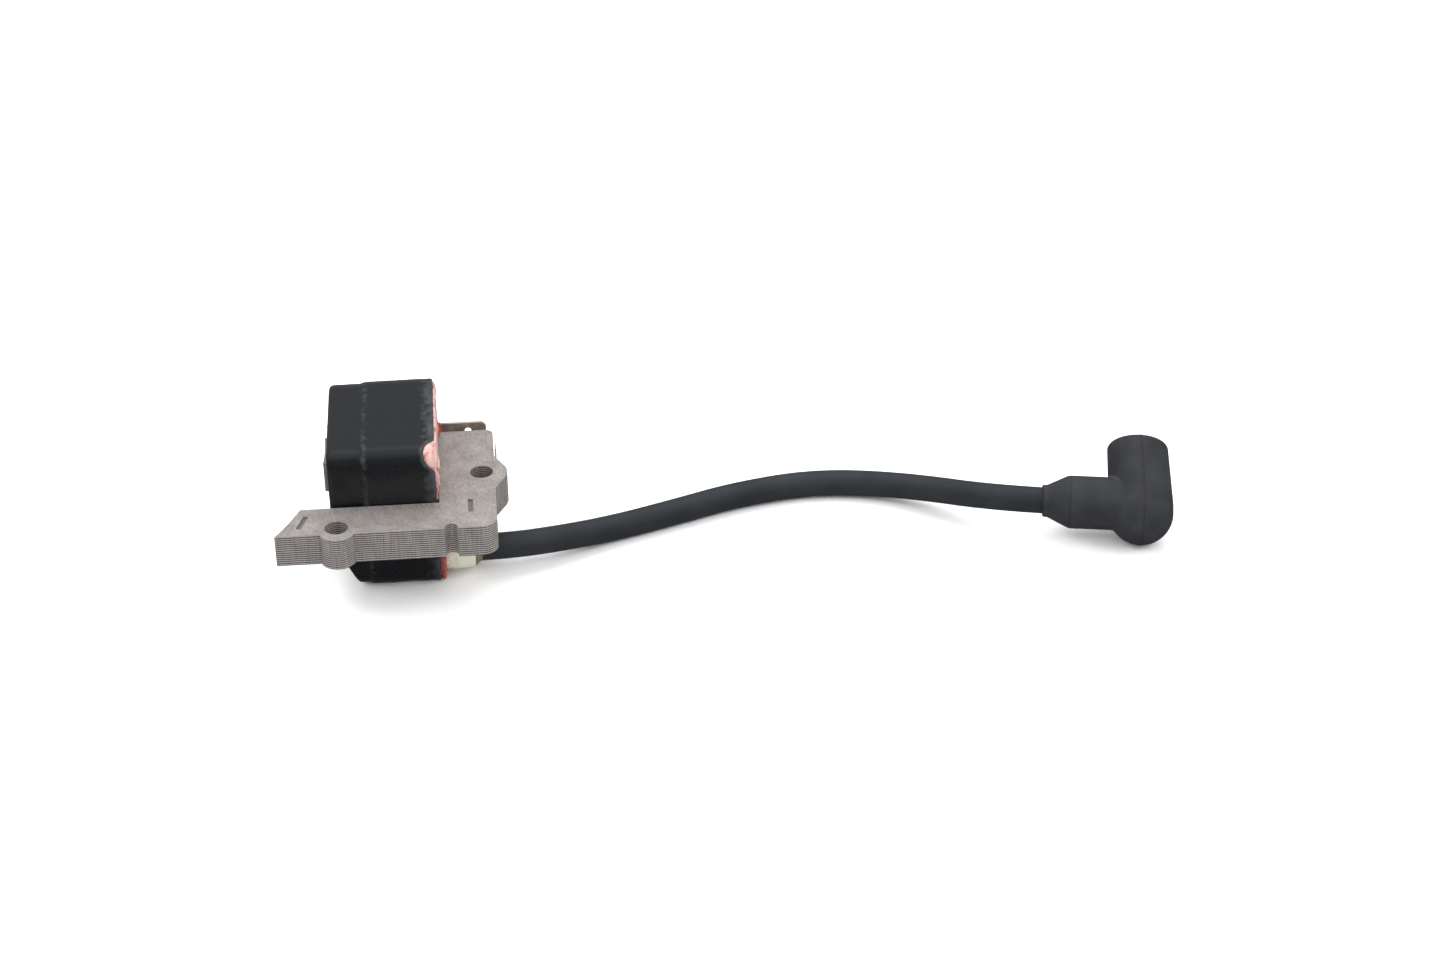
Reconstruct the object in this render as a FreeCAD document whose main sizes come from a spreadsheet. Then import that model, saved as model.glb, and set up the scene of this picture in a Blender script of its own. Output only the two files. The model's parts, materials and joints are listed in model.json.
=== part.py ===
import FreeCAD, Part
import math
import os
import re

import Sketcher

# Ignition coil of a small petrol engine: a laminated U core on two mounting lugs, a potted coil case
# round the core's short leg, a stop-switch tab, a high-tension lead and a right-angle plug boot.
#
# Frame: millimetres, +Z up, the coil lying on the bottom of its case. X runs along the core's legs from
# the flywheel side to the yoke side, and Y from the long leg to the case. The origin is the middle of
# the bottom of everything except the lead and its boot.
#
# Inside the part most places are given from the core's own corner: the outer face of the yoke (x), the
# outer face of the long leg (y) and the top of the lamination stack (z).

V = FreeCAD.Vector
doc = FreeCAD.newDocument("ignition_coil")

# ---------------------------------------------------------------------------------------------------
# Driving sizes
# ---------------------------------------------------------------------------------------------------

SIZES = {
    # laminated core
    "plate_count": 14,
    "plate_thickness": 0.622,
    "plate_rollover": 0.11,  # rounded top edge that blanking leaves
    "leg_reach": 55.7,  # yoke's outer face to the long leg's tip
    "yoke_width": 14.5,
    "long_leg_width": 12.2,
    "short_leg_width": 12.8,
    "core_depth": 47.2,  # across both legs
    "flywheel_radius": 80.4,  # the pole faces are arcs of this circle
    "flywheel_centre_depth": 41.7,
    "long_corner_radius": 4.0,
    "short_corner_radius": 2.0,
    "hole_diameter": 6.0,
    "front_hole_inset": 40.29,  # from the yoke's outer face
    "front_hole_depth": 2.76,  # from the long leg's outer face
    "front_lug_inset": 40.15,
    "front_lug_radius": 4.5,
    "front_lug_reach": 3.02,
    "rear_hole_depth": 25.93,
    "rear_lug_radius": 6.67,
    "rear_lug_reach": 3.22,
    "rear_lug_foot": 7.8,  # half the length of the lug's foot on the yoke
    "groove_inset": 11.67,
    "groove_width": 3.26,
    "groove_depth": 2.17,
    # half-sheared dimples that lock the plates together
    "dimple_depth": 0.45,
    "dimple_width": 1.3,
    "tip_dimple_length": 5.9,
    "tip_dimple_inset": 48.9,
    "tip_dimple_across": 5.95,
    "tip_dimple_angle": 72.5,
    "yoke_dimple_length": 6.0,
    "yoke_dimple_inset": 6.6,
    "yoke_dimple_across": 10.0,
    # coil case
    "case_leg_gap": 0.3,  # long leg's inner face to the case
    "case_yoke_gap": 0.5,  # yoke's inner face to the case's open rim
    "case_back_room": 8.8,  # short leg's outer face to the case's back
    "case_rise": 15.0,  # above the stack
    "case_drop": 25.2,  # top of the stack to the bottom of the case
    "case_length": 27.2,
    "case_wall": 1.6,
    "nose_length": 8.4,  # the slightly smaller closed end
    "nose_step": 0.45,
    "case_shoulder_radius": 1.1,
    "nose_radius": 1.2,
    "case_front_top_radius": 4.0,
    "case_front_low_radius": 3.0,
    "case_back_radius": 8.5,
    "heel_run": 6.5,  # sloping cut under the nose
    "heel_rise": 13.2,
    "notch_radius": 4.14,  # scallop in the rim's top front corner
    "notch_offset": 1.24,
    "notch_reach": 3.6,  # past the scallop's start outside the corner
    "notch_start": 4.0,
    "tunnel_gap": 0.1,
    "tunnel_wall": 1.0,
    # potting
    "potting_proud": 0.9,
    "potting_inset": 0.75,
    "potting_notch_inset": 0.3,
    "potting_notch_depth": 4.8,  # behind the rim
    "potting_notch_shy": 0.4,  # fill's face below the scallop's
    "potting_core_gap": 0.15,
    "potting_dip": 0.9,
    "potting_dip_start": 19.8,
    "potting_dip_length": 14.5,
    # windings, each layer measured outwards from the leg it surrounds
    "bobbin_end_gap": 0.5,
    "bobbin_tab_gap": 0.9,  # to the roots of the tab and the tag
    "bobbin_gap": 0.1,
    "bobbin_wall": 0.7,
    "cheek_thickness": 0.8,
    "primary_build": 1.3,
    "primary_cheek_lip": 0.1,
    "secondary_gap": 0.2,
    "secondary_build": 1.8,
    "secondary_cheek_lip": 0.2,
    # circuit board and what is soldered to it
    "board_inset": 3.5,  # from the case's front face
    "board_thickness": 1.0,
    "board_length": 20.0,
    "board_height": 20.0,
    "board_start": 3.4,  # from the case's closed end
    "board_lift": 16.2,  # above the bottom of the case
    "capacitor_length": 9.0,
    "capacitor_width": 5.5,
    "capacitor_height": 8.0,
    "thyristor_radius": 2.3,
    "thyristor_height": 4.8,
    "diode_radius": 1.35,
    "diode_length": 5.0,
    "resistor_radius": 1.1,
    "resistor_length": 6.3,
    "board_part_gap": 2.0,
    # stop-switch tab
    "tab_height": 4.8,
    "tab_thickness": 0.8,
    "tab_length": 12.8,  # from the yoke's inner face
    "tab_root": 4.5,
    "tab_core_gap": 1.4,
    "tab_top": 1.5,  # above the stack
    "tab_hole_diameter": 1.8,
    "tab_hole_inset": 4.8,
    "tab_chamfer": 1.0,
    # earth tag under the yoke's lug
    "tag_thickness": 0.4,
    "tag_ring_radius": 5.2,
    "tag_hole_diameter": 6.4,
    "tag_strap_width": 3.4,
    "tag_root": 4.5,
    "tag_ear_gap": 0.3,
    "tag_ear_width": 2.8,
    "tag_ear_start": 8.75,  # from the lug's hole, along the yoke
    "tag_ear_rise": 1.3,  # above the stack
    "tag_foot_lap": 1.0,  # back over the ring's side
    # lead outlet
    "outlet_depth": 19.1,  # lead's axis, from the long leg's outer face
    "outlet_floor_gap": 0.3,  # collar's shank to the inside of the case's lowest wall
    "lead_diameter": 7.0,
    "core_wire_diameter": 1.8,
    "collar_wall": 1.7,  # round the lead
    "collar_shank_wall": 1.0,
    "collar_length": 8.4,  # from the yoke's inner face
    "collar_root": 5.0,
    "collar_edge": 0.4,
    "collar_shoulder": 1.5,  # stops the lead's end, past the yoke's inner face
    "sealant_length": 1.3,
    "sealant_wall": 1.4,  # round the lead, at the collar
    "sealant_tip_wall": 0.15,
    "pin_flange_radius": 2.2,
    "pin_flange_thickness": 1.2,
    "pin_reach": 5.0,  # how far the pin is driven into the lead
    # plug boot
    "boot_radius": 8.5,
    "boot_inlet_length": 25.8,  # mouth to the barrel's axis
    "boot_grip": 11.5,  # how far the lead goes in
    "boot_lip_wall": 0.7,
    "boot_lip_length": 1.2,
    "boot_cone_length": 7.0,
    "boot_inlet_radius": 7.0,
    "boot_dome_offset": 2.4,
    "boot_barrel_length": 17.1,  # inlet axis to the open end
    "boot_edge_radius": 0.8,
    "boot_bore_radius": 5.2,
    "boot_bore_length": 9.6,
    "boot_pitch": 30.0,  # how far the open end is turned up about the inlet's axis
    "boot_lead_clearance": 0.05,
    "boot_tail_room": 0.2,  # round the spring's tail and past the lead's end
    "spring_wire_radius": 0.5,
    "spring_radius": 2.4,
    "spring_pitch": 1.5,
    "spring_height": 6.9,
    "spring_room": 0.6,
    "spring_tail_bite": 5.0,
    "spring_tail_clearance": 0.05,
}

sheet = doc.addObject("Spreadsheet::Sheet", "Sizes")
for row, (alias, number) in enumerate(SIZES.items(), start=1):
    sheet.set(f"A{row}", alias)
    sheet.set(f"B{row}", str(number))
    sheet.setAlias(f"B{row}", alias)
doc.recompute()

# ---------------------------------------------------------------------------------------------------
# Places worked out from the sizes
# ---------------------------------------------------------------------------------------------------

PLACES = {
    # the core's corner in the part's frame
    "core_x": "(leg_reach - rear_lug_reach) / 2",
    "core_y": "(front_lug_reach - case_back) / 2",
    "core_z": "case_drop",
    "stack": "plate_count * plate_thickness",
    # along x from the core's corner, negative towards the flywheel
    "flywheel_x": "-leg_reach - sqrt(flywheel_radius ^ 2 - flywheel_centre_depth ^ 2)",
    "short_leg_start": "core_depth - short_leg_width",
    "rim_x": "-yoke_width - case_yoke_gap",
    "shoulder_x": "rim_x - case_length + nose_length",
    "nose_x": "rim_x - case_length",
    # along y from the core's corner
    "case_front": "long_leg_width + case_leg_gap",
    "case_width": "core_depth + case_back_room - case_front",
    "case_back": "case_front + case_width",
    # middle of the rounding of the case's top front corner, where the scallop crosses it
    "corner_shift": "case_front_top_radius * (1 - 1 / sqrt(2))",
    # winding layers, outwards from the leg's faces
    "primary_base": "tunnel_gap + tunnel_wall + bobbin_gap",
    "primary_floor": "primary_base + bobbin_wall",
    "primary_rim": "primary_floor + primary_build + primary_cheek_lip",
    "secondary_base": "primary_rim + secondary_gap",
    "secondary_floor": "secondary_base + bobbin_wall",
    "secondary_rim": "secondary_floor + secondary_build + secondary_cheek_lip",
    "secondary_low": "case_drop - stack - secondary_rim",
    "heel_slope": "sqrt(heel_run ^ 2 + heel_rise ^ 2)",
    "heel_inside": "heel_run + case_wall * heel_slope / heel_rise - secondary_low * heel_run / heel_rise",
    "winding_x": "nose_x + max(case_wall; heel_inside) + bobbin_end_gap",
    "bobbin_length": "-yoke_width - tab_root - bobbin_tab_gap - winding_x",
    # lead outlet
    "outlet_height": "case_wall + outlet_floor_gap + collar_shank_radius",
    "outlet_z": "outlet_height - case_drop",
    "lead_radius": "lead_diameter / 2",
    "core_wire_radius": "core_wire_diameter / 2",
    "collar_radius": "lead_radius + collar_wall",
    "collar_shank_radius": "lead_radius + collar_shank_wall",
    "sealant_radius": "lead_radius + sealant_wall",
    "sealant_tip_radius": "lead_radius + sealant_tip_wall",
    "collar_end": "collar_length - yoke_width",
    # board
    "board_x": "nose_x + board_start",
    "board_y": "case_front + board_inset",
    "board_z": "board_lift - case_drop",
    "board_back": "board_y + board_thickness",
    # boot
    "boot_mouth_radius": "lead_radius + boot_lead_clearance",
    "boot_lip_radius": "boot_mouth_radius + boot_lip_wall",
    "boot_tail_bore_radius": "spring_wire_radius + boot_tail_room",
    "boot_lead_stop": "boot_grip - boot_inlet_length + boot_tail_room",
    "boot_cavity_radius": "spring_radius + spring_wire_radius + spring_room",
    "boot_step": "boot_barrel_length - boot_bore_length",
}


def formula(text):
    """Sheet expression for a formula written in size and place names."""

    def word(match):
        name = match.group(0)
        if name in PLACES:
            return "(" + formula(PLACES[name]) + ")"
        if name in SIZES:
            return "Sizes." + name
        return name

    return re.sub(r"[a-z_]+", word, text)


def value(text):
    """Number that a formula gives."""
    return float(sheet.evalExpression(formula(text)))


def bind(thing, **formulas):
    """Bind an object's properties to the sheet."""
    for name, text in formulas.items():
        thing.setExpression(name, formula(text))
    return thing


def place(thing, x="0", y="0", z="0", rotation=None):
    """Put an object at a point given from the core's corner, bound to the sheet."""
    if rotation is not None:
        thing.Placement = FreeCAD.Placement(V(0, 0, 0), rotation)
    thing.setExpression(".Placement.Base.x", formula(f"core_x + ({x})"))
    thing.setExpression(".Placement.Base.y", formula(f"core_y + ({y})"))
    thing.setExpression(".Placement.Base.z", formula(f"core_z + ({z})"))
    return thing


UPRIGHT = FreeCAD.Rotation()
ALONG_X = FreeCAD.Rotation(V(1, 1, 1), 120)  # x, y, z of the thing go to y, z, x
ALONG_Y = FreeCAD.Rotation(V(1, 1, 1), 240)  # x, y, z of the thing go to z, x, y

OVERCUT = "2"  # how far a cutting tool runs past what it cuts
SAME_PLANE = 1e-6

# ---------------------------------------------------------------------------------------------------
# Ways of making things
# ---------------------------------------------------------------------------------------------------


def box(name, x, y, z, length, width, height):
    """Block from its low corner, along the frame's axes."""
    block = doc.addObject("Part::Box", name)
    bind(block, Length=length, Width=width, Height=height)
    return place(block, x, y, z)


def rod(name, radius, length, x, y, z, rotation=UPRIGHT):
    """Cylinder from the middle of its first end."""
    bar = doc.addObject("Part::Cylinder", name)
    bind(bar, Radius=radius, Height=length)
    return place(bar, x, y, z, rotation)


def fuse(name, *shapes):
    """Several objects as one solid."""
    joined = doc.addObject("Part::MultiFuse", name)
    joined.Shapes = list(shapes)
    joined.Refine = True
    return joined


def cut(name, base, *tools):
    """base with each of the tools taken out of it."""
    for index, tool in enumerate(tools, start=1):
        step = name if index == len(tools) else f"{name}_cut_{index}"
        result = doc.addObject("Part::Cut", step)
        result.Base = base
        result.Tool = tool
        base = result
    return base


def edges_where(thing, test):
    """Numbers of the edges whose every vertex and middle passes the test."""
    doc.recompute()
    found = []
    for number, edge in enumerate(thing.Shape.Edges, start=1):
        middle = edge.valueAt((edge.FirstParameter + edge.LastParameter) / 2)
        if all(test(point) for point in [v.Point for v in edge.Vertexes] + [middle]):
            found.append(number)
    return found


def round_edges(name, base, radius, test):
    """Fillet on the edges that pass the test."""
    rounded = doc.addObject("Part::Fillet", name)
    rounded.Base = base
    rounded.Edges = [(number, value(radius), value(radius)) for number in edges_where(base, test)]
    return rounded


def draw(sketch, corners):
    """Closed outline in a sketch, anticlockwise, with every corner bound to the sheet.

    A corner is (x, y) when a straight edge leaves it, and (x, y, radius) or (x, y, radius, "cw") when
    the edge that leaves it is an arc, turning left or right.
    """
    points = [V(value(corner[0]), value(corner[1]), 0) for corner in corners]
    ends = []
    for index, corner in enumerate(corners):
        first = points[index]
        second = points[(index + 1) % len(points)]
        if len(corner) == 2:
            edge = sketch.addGeometry(Part.LineSegment(first, second))
            ends.append((edge, 1, 2))
            continue
        clockwise = len(corner) == 4
        radius = value(corner[2])
        chord = second - first
        rise = math.sqrt(max(radius**2 - chord.Length**2 / 4, 0))
        side = V(-chord.y, chord.x, 0).normalize() * (-rise if clockwise else rise)
        centre = (first + second) * 0.5 + side
        start, stop = (second, first) if clockwise else (first, second)
        start_angle = math.atan2(start.y - centre.y, start.x - centre.x)
        stop_angle = math.atan2(stop.y - centre.y, stop.x - centre.x)
        if stop_angle < start_angle:
            stop_angle += 2 * math.pi
        circle = Part.Circle(centre, V(0, 0, 1), radius)
        edge = sketch.addGeometry(Part.ArcOfCircle(circle, start_angle, stop_angle))
        ends.append((edge, 2, 1) if clockwise else (edge, 1, 2))
        held = sketch.addConstraint(Sketcher.Constraint("Radius", edge, radius))
        sketch.setExpression(f"Constraints[{held}]", formula(corner[2]))
    for index, (edge, _, last) in enumerate(ends):
        after, start, _ = ends[(index + 1) % len(ends)]
        sketch.addConstraint(Sketcher.Constraint("Coincident", edge, last, after, start))
    for corner, point, (edge, start, _) in zip(corners, points, ends):
        held = sketch.addConstraint(Sketcher.Constraint("DistanceX", -1, 1, edge, start, point.x))
        sketch.setExpression(f"Constraints[{held}]", formula(corner[0]))
        held = sketch.addConstraint(Sketcher.Constraint("DistanceY", -1, 1, edge, start, point.y))
        sketch.setExpression(f"Constraints[{held}]", formula(corner[1]))
    return sketch


def drawing(name, corners, x="0", y="0", z="0", rotation=UPRIGHT):
    """Outline of its own, for extrusions."""
    sketch = doc.addObject("Sketcher::SketchObject", name)
    place(sketch, x, y, z, rotation)
    return draw(sketch, corners)


def extrude(name, sketch, length, reverse=False):
    """Solid from an outline, along the outline's normal."""
    solid = doc.addObject("Part::Extrusion", name)
    solid.Base = sketch
    solid.DirMode = "Normal"
    solid.Solid = True
    solid.Reversed = reverse
    return bind(solid, LengthFwd=length)


def new_body(name):
    """PartDesign body with the node's name."""
    body = doc.addObject("PartDesign::Body", name)
    body.Label = name
    return body


def body_sketch(body, name, role, corners):
    """Outline on one of the body's own origin planes."""
    sketch = body.newObject("Sketcher::SketchObject", name)
    plane = next(item for item in body.Origin.OriginFeatures if item.Role == role)
    sketch.AttachmentSupport = [(plane, "")]
    sketch.MapMode = "FlatFace"
    return draw(sketch, corners)


def revolve(body, kind, name, sketch, axis):
    """Full turn of an outline about the sketch's own H_Axis or V_Axis."""
    turned = body.newObject(kind, name)
    turned.Profile = sketch
    turned.ReferenceAxis = (sketch, [axis])
    turned.Angle = 360
    doc.recompute()
    return turned


nodes = []


def node(name, thing):
    """Mark an object as a finished sub-part of that name."""
    thing.Label = name
    nodes.append(thing)
    return thing


# ---------------------------------------------------------------------------------------------------
# Core: a stack of equal blanked steel plates, locked by dimples
# ---------------------------------------------------------------------------------------------------

# The lug's flanks leave the yoke at its foot and touch the lug's circle.
LUG_MID = "rear_lug_reach - rear_lug_radius"
FOOT_FAR = "((rear_lug_radius - rear_lug_reach) ^ 2 + rear_lug_foot ^ 2)"
FOOT_SIDE = f"sqrt({FOOT_FAR} - rear_lug_radius ^ 2)"
FLANK_X = (
    f"{LUG_MID} + rear_lug_radius * (rear_lug_radius * (rear_lug_radius - rear_lug_reach)"
    f" + {FOOT_SIDE} * rear_lug_foot) / {FOOT_FAR}"
)
FLANK_Y = (
    f"rear_lug_radius * (rear_lug_radius * rear_lug_foot"
    f" - {FOOT_SIDE} * (rear_lug_radius - rear_lug_reach)) / {FOOT_FAR}"
)
FRONT_LUG_HALF = "sqrt(front_lug_radius ^ 2 - (front_lug_radius - front_lug_reach) ^ 2)"


def pole(depth):
    """x of the flywheel's circle at a depth from the long leg's outer face."""
    return f"flywheel_x + sqrt(flywheel_radius ^ 2 - (flywheel_centre_depth - ({depth})) ^ 2)"


CORE_OUTLINE = [
    ("-leg_reach", "0"),
    (f"-front_lug_inset - {FRONT_LUG_HALF}", "0", "front_lug_radius"),
    (f"-front_lug_inset + {FRONT_LUG_HALF}", "0"),
    ("-groove_inset - groove_width / 2", "0"),
    ("-groove_inset - groove_width / 2", "groove_depth - groove_width / 2", "groove_width / 2", "cw"),
    ("-groove_inset", "groove_depth", "groove_width / 2", "cw"),
    ("-groove_inset + groove_width / 2", "groove_depth - groove_width / 2"),
    ("-groove_inset + groove_width / 2", "0"),
    ("-long_corner_radius", "0", "long_corner_radius"),
    ("0", "long_corner_radius"),
    ("0", "rear_hole_depth - rear_lug_foot"),
    (FLANK_X, f"rear_hole_depth - {FLANK_Y}", "rear_lug_radius"),
    (FLANK_X, f"rear_hole_depth + {FLANK_Y}"),
    ("0", "rear_hole_depth + rear_lug_foot"),
    ("0", "core_depth - short_corner_radius", "short_corner_radius"),
    ("-short_corner_radius", "core_depth"),
    (pole("core_depth"), "core_depth", "flywheel_radius", "cw"),
    (pole("short_leg_start"), "short_leg_start"),
    ("-yoke_width", "short_leg_start"),
    ("-yoke_width", "long_leg_width"),
    (pole("long_leg_width"), "long_leg_width", "flywheel_radius", "cw"),
]

plate_outline = drawing("plate_outline", CORE_OUTLINE)


def dimple(name, length, inset, across, angle, z, height):
    """Narrow block centred on its place in the plate, turned about Z."""
    block = doc.addObject("Part::Box", name)
    bind(block, Length=length, Width="dimple_width", Height=height)
    half_length = f"({length}) / 2"
    half_width = "dimple_width / 2"
    turn = f"({angle})"
    place(
        block,
        f"-({inset}) - {half_length} * cos({turn}) + {half_width} * sin({turn})",
        f"({across}) - {half_length} * sin({turn}) - {half_width} * cos({turn})",
        z,
        FreeCAD.Rotation(V(0, 0, 1), value(angle)),
    )
    return block


def dimples(name, z, height):
    """The plate's two dimples as cutting or added blocks."""
    tip = dimple(
        f"{name}_tip",
        "tip_dimple_length",
        "tip_dimple_inset",
        "tip_dimple_across",
        "tip_dimple_angle",
        z,
        height,
    )
    yoke = dimple(
        f"{name}_yoke", "yoke_dimple_length", "yoke_dimple_inset", "yoke_dimple_across", "90", z, height
    )
    return tip, yoke


def plate(index):
    """One plate: outline, mounting holes, dimples and its rounded upper edge.

    Each dimple is pushed down into the plate below. The lowest plate is slotted right through.
    """
    name = f"lamination_{index + 1:02d}"
    low = f"-stack + {index} * plate_thickness"
    blank = extrude(f"{name}_blank", plate_outline, "plate_thickness")
    blank.setExpression(".Placement.Base.z", formula(low))
    bore = ("hole_diameter / 2", "plate_thickness")
    front_hole = rod(f"{name}_front_hole", *bore, "-front_hole_inset", "front_hole_depth", low)
    rear_hole = rod(f"{name}_rear_hole", *bore, LUG_MID, "rear_hole_depth", low)
    top = value(f"core_z + {low} + plate_thickness")
    rollover = value("plate_rollover")
    upper_edges = edges_where(blank, lambda point: abs(point.z - top) < SAME_PLANE)
    rolled = doc.addObject("Part::Chamfer", f"{name}_rolled")
    rolled.Base = blank
    rolled.Edges = [(number, rollover, rollover) for number in upper_edges]
    if index == 0:
        slots = dimples(f"{name}_slot", low, "plate_thickness")
        return node(name, cut(name, rolled, front_hole, rear_hole, *slots))
    sockets = dimples(f"{name}_socket", f"{low} + plate_thickness - dimple_depth", "dimple_depth")
    tongues = dimples(f"{name}_tongue", f"{low} - dimple_depth", "dimple_depth")
    pierced = cut(f"{name}_pierced", rolled, front_hole, rear_hole, *sockets)
    return node(name, fuse(name, pierced, *tongues))


for plate_index in range(int(value("plate_count"))):
    plate(plate_index)

# ---------------------------------------------------------------------------------------------------
# Coil case: moulded plastic cup on its side, open towards the yoke, with a tunnel for the short leg
# ---------------------------------------------------------------------------------------------------


def rounded_section(inset):
    """Case's cross-section in y and z, shrunk all round by an inset."""
    low = f"-case_drop + ({inset})"
    high = f"case_rise - ({inset})"
    front = f"case_front + ({inset})"
    back = f"case_back - ({inset})"
    front_low = f"(case_front_low_radius - ({inset}))"
    front_top = f"(case_front_top_radius - ({inset}))"
    turn = f"(case_back_radius - ({inset}))"
    return [
        (f"{front} + {front_low}", low),
        (f"{back} - {turn}", low, turn),
        (back, f"{low} + {turn}"),
        (back, f"{high} - {turn}", turn),
        (f"{back} - {turn}", high),
        (f"{front} + {front_top}", high, front_top),
        (front, f"{high} - {front_top}"),
        (front, f"{low} + {front_low}", front_low),
    ]


def section_block(name, inset, x, length):
    """Length of the case's cross-section along x."""
    return extrude(name, drawing(f"{name}_outline", rounded_section(inset), x=x, rotation=ALONG_X), length)


def heel_wedge(name, offset):
    """Prism under the sloping heel, its slope moved inwards by an offset."""
    run = f"(heel_run + ({offset}) * heel_slope / heel_rise)"
    rise = f"(heel_rise + ({offset}) * heel_slope / heel_run)"
    corners = [
        (f"-case_drop - {OVERCUT}", f"nose_x - {OVERCUT}"),
        (f"-case_drop - {OVERCUT}", f"nose_x + {run} + {OVERCUT} * {run} / {rise}"),
        (f"-case_drop + {rise} + {OVERCUT} * {rise} / {run}", f"nose_x - {OVERCUT}"),
    ]
    outline = drawing(f"{name}_outline", corners, y=f"case_front - {OVERCUT}", rotation=ALONG_Y)
    return extrude(name, outline, f"case_width + 2 * {OVERCUT}")


main_block = section_block("case_main_block", "0", "shoulder_x", "case_length - nose_length")
shoulder_plane = value("core_x + shoulder_x")
main_rounded = round_edges(
    "case_main_rounded",
    main_block,
    "case_shoulder_radius",
    lambda point: abs(point.x - shoulder_plane) < SAME_PLANE,
)
nose_block = section_block("case_nose_block", "nose_step", "nose_x", "nose_length + case_wall")
nose_cut = cut("case_nose_cut", nose_block, heel_wedge("case_heel", "0"))
nose_plane = value("core_x + nose_x")
nose_rounded = round_edges(
    "case_nose_rounded", nose_cut, "nose_radius", lambda point: abs(point.x - nose_plane) < SAME_PLANE
)
case_blank = fuse("case_blank", main_rounded, nose_rounded)

# The space inside, which the potting later fills.
nose_space = cut(
    "case_nose_space",
    section_block(
        "case_nose_room", "nose_step + case_wall", "nose_x + case_wall", "case_length - case_wall"
    ),
    heel_wedge("case_heel_inside", "case_wall"),
)
main_space = section_block(
    "case_main_space", "case_wall", "shoulder_x + case_wall", "case_length - nose_length - case_wall"
)
case_space = fuse("case_space", main_space, nose_space)


def ring_core(name, gap, x, length):
    """Block round the short leg, its faces a gap outside the leg's."""
    return box(
        name,
        x,
        f"short_leg_start - ({gap})",
        f"-stack - ({gap})",
        length,
        f"short_leg_width + 2 * ({gap})",
        f"stack + 2 * ({gap})",
    )


def sleeve(name, inner, outer, x, length, ends="0"):
    """Rectangular tube round the short leg between two gaps."""
    return cut(
        name,
        ring_core(f"{name}_outside", outer, x, length),
        ring_core(f"{name}_inside", inner, f"({x}) - ({ends})", f"({length}) + 2 * ({ends})"),
    )


tunnel_solid = ring_core(
    "case_tunnel_solid", "tunnel_gap + tunnel_wall", "nose_x + case_wall / 2", "case_length - case_wall / 2"
)
tunnel_hole = ring_core(
    "case_tunnel_hole", "tunnel_gap", f"nose_x - {OVERCUT}", f"case_length + 2 * {OVERCUT}"
)

# Scallop through the rim's top front corner, bored along the corner's diagonal.
corner_slant = FreeCAD.Rotation(V(0, 0, 1), V(0, 1, -1))


def corner_bore(name, start, reach):
    """Scallop's cylinder, from a start outside the corner to a reach inside it."""
    return rod(
        name,
        "notch_radius",
        f"({start}) + ({reach})",
        "rim_x + notch_offset",
        f"case_front + corner_shift - ({start}) / sqrt(2)",
        f"case_rise - corner_shift + ({start}) / sqrt(2)",
        corner_slant,
    )


notch_bore = corner_bore("case_notch_bore", "notch_start", "notch_reach")
hollow = cut("case_hollow", case_blank, case_space, notch_bore)
walled = fuse("case_walled", hollow, tunnel_solid)
coil_case = node("coil_case", cut("coil_case", walled, tunnel_hole))

# ---------------------------------------------------------------------------------------------------
# Windings on the short leg, inside the case
# ---------------------------------------------------------------------------------------------------


def bobbin(name, base, floor, rim):
    """Moulded tube with a cheek at each end."""
    tube = sleeve(f"{name}_tube", base, floor, "winding_x", "bobbin_length", OVERCUT)
    near = sleeve(f"{name}_near_cheek", base, rim, "winding_x", "cheek_thickness", OVERCUT)
    far_x = "winding_x + bobbin_length - cheek_thickness"
    far = sleeve(f"{name}_far_cheek", base, rim, far_x, "cheek_thickness", OVERCUT)
    return node(name, fuse(name, tube, near, far))


def winding(name, floor, build):
    """Wire wound full between a bobbin's cheeks, as one block."""
    start = "winding_x + cheek_thickness"
    length = "bobbin_length - 2 * cheek_thickness"
    return node(name, sleeve(name, floor, f"{floor} + {build}", start, length, OVERCUT))


primary_bobbin = bobbin("primary_bobbin", "primary_base", "primary_floor", "primary_rim")
primary_winding = winding("primary_winding", "primary_floor", "primary_build")
secondary_bobbin = bobbin("secondary_bobbin", "secondary_base", "secondary_floor", "secondary_rim")
secondary_winding = winding("secondary_winding", "secondary_floor", "secondary_build")

# ---------------------------------------------------------------------------------------------------
# Circuit board in the front of the case, with its parts on the side towards the windings
# ---------------------------------------------------------------------------------------------------

circuit_board = node(
    "circuit_board",
    box(
        "circuit_board",
        "board_x",
        "board_y",
        "board_z",
        "board_length",
        "board_thickness",
        "board_height",
    ),
)
storage_capacitor = node(
    "storage_capacitor",
    box(
        "storage_capacitor",
        "board_x + board_part_gap",
        "board_back",
        "board_z + board_height - capacitor_height - board_part_gap",
        "capacitor_length",
        "capacitor_width",
        "capacitor_height",
    ),
)
switching_thyristor = node(
    "switching_thyristor",
    rod(
        "switching_thyristor",
        "thyristor_radius",
        "thyristor_height",
        "board_x + 2 * board_part_gap + capacitor_length + thyristor_radius",
        "board_back",
        "board_z + board_height - board_part_gap - thyristor_radius",
        ALONG_Y,
    ),
)
charging_diode = node(
    "charging_diode",
    rod(
        "charging_diode",
        "diode_radius",
        "diode_length",
        "board_x + board_part_gap",
        "board_back + diode_radius",
        "board_z + board_part_gap + diode_radius",
        ALONG_X,
    ),
)
trigger_resistor = node(
    "trigger_resistor",
    rod(
        "trigger_resistor",
        "resistor_radius",
        "resistor_length",
        "board_x + 2 * board_part_gap + diode_length",
        "board_back + resistor_radius",
        "board_z + board_part_gap + resistor_radius",
        ALONG_X,
    ),
)

# ---------------------------------------------------------------------------------------------------
# Stop-switch tab: a tinned blade behind the yoke, rooted in the potting
# ---------------------------------------------------------------------------------------------------

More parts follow.
